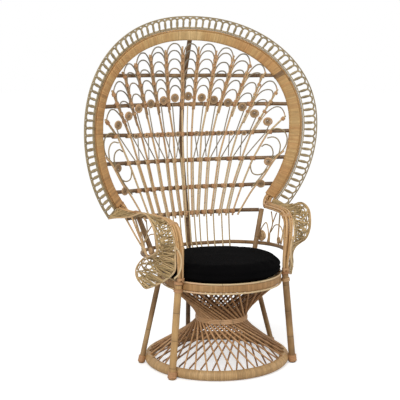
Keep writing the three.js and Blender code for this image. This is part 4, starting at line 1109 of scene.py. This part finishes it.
def make_infill():
    low = arm_place(HOOP[3:])
    high = arm_place([at for at, _, _ in ARM_BAND[1:6]])
    canes = Mesh()

    def place(shares):
        shares = real(shares)
        a = spline(low, shares[:, 0]) + UP * 10
        b = spline(high, shares[:, 0]) - UP * 12
        return a + (b - a) * shares[:, 1:]

    for shares in INFILL:
        both(canes.tube, smooth(place(shares), 20), INFILL_CANE, sides=7)
    stem = even(place([(0.285, 0), (0.3, 0.26)]), 5)
    both(canes.tube, stem, linspace(15, 8, len(stem)), sides=8, tone=0.1)
    for along, size, cane in CURLS:
        outer = (size - cane) / 2
        turn = linspace(0, FIRST_TURN + (outer - cane * 0.2) / cane, 50)
        angle = TURN * turn - 0.6
        radius = drawn_in(outer, cane, turn)[:, None]
        behind, centre, ahead = place([[along + step, 0] for step in (-0.02, 0, 0.02)])
        way = unit((ahead - behind) * [1, 1, 0])
        line = (centre + UP * (size / 2 - 1) + way * radius * cos(angle)[:, None]
                + UP * radius * sin(angle)[:, None])
        both(canes.tube, line, cane, sides=7, tone=rng.uniform(0, 0.4))
    canes.build("arm_infill_canes", PALE, pair("arm_infill"), "grey_cane")


# Cushion

def lathe(profile, segments, centre_y):
    """Turns a profile, whose ends lie on the axis, into a closed surface."""
    radius, z = real(profile).T
    angle = (np.arange(segments) / segments * TURN)[:, None]
    rows = round_axis(radius, angle, z, centre_y)
    verts = np.vstack([[0, centre_y, z[0]], rows[:, 1:-1].reshape(-1, 3), [0, centre_y, z[-1]]])
    count = len(z) - 2
    faces = []
    for i in range(segments):
        here, after = 1 + i * count, 1 + (i + 1) % segments * count
        faces += [[here + k, after + k, after + k + 1, here + k + 1] for k in range(count - 1)]
        faces += [[0, after, here], [len(verts) - 1, here + count - 1, after + count - 1]]
    return verts, faces


def places_of(mesh):
    return np.array([v.co for v in mesh.vertices])


def set_places(mesh, places):
    mesh.vertices.foreach_set("co", places.astype(np.float32).ravel())


def blow_up(cushion):
    """Fills the cushion out with cloth under pressure, and keeps every point near its start."""
    before = places_of(cushion.data)
    cloth = cushion.modifiers.new("cloth", "CLOTH")
    cloth.settings.use_pressure = True
    cloth.settings.uniform_pressure_force = PRESSURE
    cloth.settings.effector_weights.gravity = 0
    cloth.settings.quality = 5
    scene = bpy.context.scene
    for step in range(1, CLOTH_STEPS + 1):
        scene.frame_set(step)
        bpy.context.view_layer.update()
    after = places_of(cushion.evaluated_get(bpy.context.evaluated_depsgraph_get()).data)
    cushion.modifiers.remove(cloth)
    scene.frame_set(1)
    move = after - before
    size = np.linalg.norm(move, axis=1, keepdims=True)
    after = before + move * np.minimum(1, FURTHEST / np.maximum(size, 1e-9))
    after[:, 2] = np.maximum(after[:, 2], (SEAT_TOP + 1.2) * MM)
    set_places(cushion.data, after)


def sew(mesh, full, middle):
    """Draws the seam in round the side, with puckers beside it, and creases the top a little."""
    co = places_of(mesh)
    flat_xy = co[:, :2] - np.array([0, MIDDLE[1] - SEAT_SHIFT * MM])
    r = np.linalg.norm(flat_xy, axis=1) / MM
    out = unit(flat_xy)
    angle = np.arctan2(flat_xy[:, 0], flat_xy[:, 1])
    over = co[:, 2] / MM - middle
    co[:, :2] -= out * ((r - np.minimum(r, full + 2)) * MM)[:, None]
    side = grown(r, full - 28, 20)
    seam = np.exp(-((over / 3.2) ** 2)) * side
    pucker = np.exp(-((over / 14) ** 2)) * side
    pucker *= 0.5 + 0.5 * sin(angle * PUCKERS + 3 * sin(angle * 5))
    co[:, :2] -= out * ((SEAM_DEPTH * seam + PUCKER_DEPTH * pucker) * MM)[:, None]
    top = grown(over, 0, 20)
    co[:, 2] += top * MM * CREASE_DEPTH * sin(angle * 3 + 0.6) * sin(r / 48)
    set_places(mesh, co)


def make_cushion():
    corner_low, corner_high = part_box("cushion")
    full = (corner_high.x - corner_low.x) / 2 / MM
    radius, low, high = full + CUSHION_SPARE, SEAT_TOP + 5.5, corner_high.z / MM - 11
    middle = (low + high) / 2
    profile = [(0, low)]
    profile += [(r, low) for r in linspace(20, radius - CUSHION_EDGE, 12)]
    profile += [(radius - 8, low + 9), (radius - 1, middle - 12), (radius - 4, middle),
                (radius - 1, middle + 12), (radius - 6, high - 16),
                (radius - CUSHION_EDGE, high - 4)]
    profile += [(r, high + 3 - 7 * (r / radius) ** 2) for r in linspace(radius - 45, 20, 10)]
    profile += [(0, high + 3)]
    verts, faces = lathe(profile, 96, -SEAT_SHIFT)
    cushion = add_object("cushion_cloth", new_mesh("cushion_cloth", verts, faces))
    bpy.context.view_layer.objects.active = cushion
    cushion.select_set(True)
    remesh = cushion.modifiers.new("remesh", "REMESH")
    remesh.mode = "VOXEL"
    remesh.voxel_size = VOXEL
    bpy.ops.object.modifier_apply(modifier="remesh")
    blow_up(cushion)
    sew(cushion.data, full, middle)
    make_smooth(cushion.data)
    subdivide = cushion.modifiers.new("subdivide", "SUBSURF")
    subdivide.levels = subdivide.render_levels = 1
    cushion.data.materials.append(CLOTH)
    cushion.select_set(False)
    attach(cushion, "root")
    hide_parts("cushion")


# Stage

def blank_tree(owner):
    owner.use_nodes = True
    owner.node_tree.nodes.clear()
    return Nodes(owner.node_tree)


def make_floor():
    """A pale floor that the camera sees as white where no shadow falls."""
    bpy.ops.mesh.primitive_plane_add(size=FLOOR_SIDE, location=(0, 0, FLOOR_HEIGHT))
    floor = bpy.context.object
    floor.name = "floor"
    material = bpy.data.materials.new("pale_floor")
    n = blank_tree(material)
    away = n.new("VectorMath", {0: n.place()}, "Value", operation="LENGTH")
    seen = n.new("LightPath", (), "Is Camera Ray")
    glow = n.new("Emission", {"Strength": n.times(seen, n.span(away, *FLOOR_GLOW))})
    diffuse = n.new("BsdfDiffuse", {"Color": FLOOR_COLOR})
    n.new("OutputMaterial", {"Surface": n.new("AddShader", {0: diffuse, 1: glow})})
    floor.data.materials.append(material)


def make_world():
    """White to the camera and in reflections, and a soft even light for the rest."""
    world = bpy.data.worlds.new("studio")
    bpy.context.scene.world = world
    n = blank_tree(world)
    seen = [n.new("LightPath", (), "Is %s Ray" % kind)
            for kind in ("Camera", "Glossy", "Transmission")]
    seen = n.math("MAXIMUM", seen[0], n.math("MAXIMUM", *seen[1:]))
    light = n.new("Background", {"Color": (1, 1, 1, 1),
                                 "Strength": n.span(seen, 0, 1, AMBIENT, 1)})
    n.new("OutputWorld", {"Surface": light})


def make_lamps():
    for name, place, size, power in LAMPS:
        data = bpy.data.lights.new(name, "AREA")
        data.size = size
        data.energy = power
        lamp = add_object(name, data)
        lamp.location = place
        aim = Vector(LAMP_TARGET) - Vector(place)
        lamp.rotation_euler = aim.to_track_quat("-Z", "Y").to_euler()


def make_camera():
    """The camera that was fitted to the photo."""
    data = bpy.data.cameras.new("camera")
    data.sensor_width = 36
    data.lens = LENS
    data.shift_x, data.shift_y = LENS_SHIFT
    data.clip_start, data.clip_end = 0.05, 60
    camera = add_object("camera", data)
    camera.location = Vector(CAMERA_PLACE) * MM + Vector(MIDDLE)
    camera.rotation_mode = "XYZ"
    camera.rotation_euler = (math.radians(90 - CAMERA_DIP), 0, math.radians(CAMERA_TURN))
    bpy.context.scene.camera = camera
    bpy.context.scene.view_settings.view_transform = "Standard"


make_camera()
make_floor()
make_world()
make_lamps()
make_rim()
make_rungs()
make_stakes()
make_feathers()
make_scrolls()
make_seat()
make_deck()
make_base()
make_legs()
make_hoop()
make_arm_bands()
make_arm_lace()
make_infill()
make_cushion()
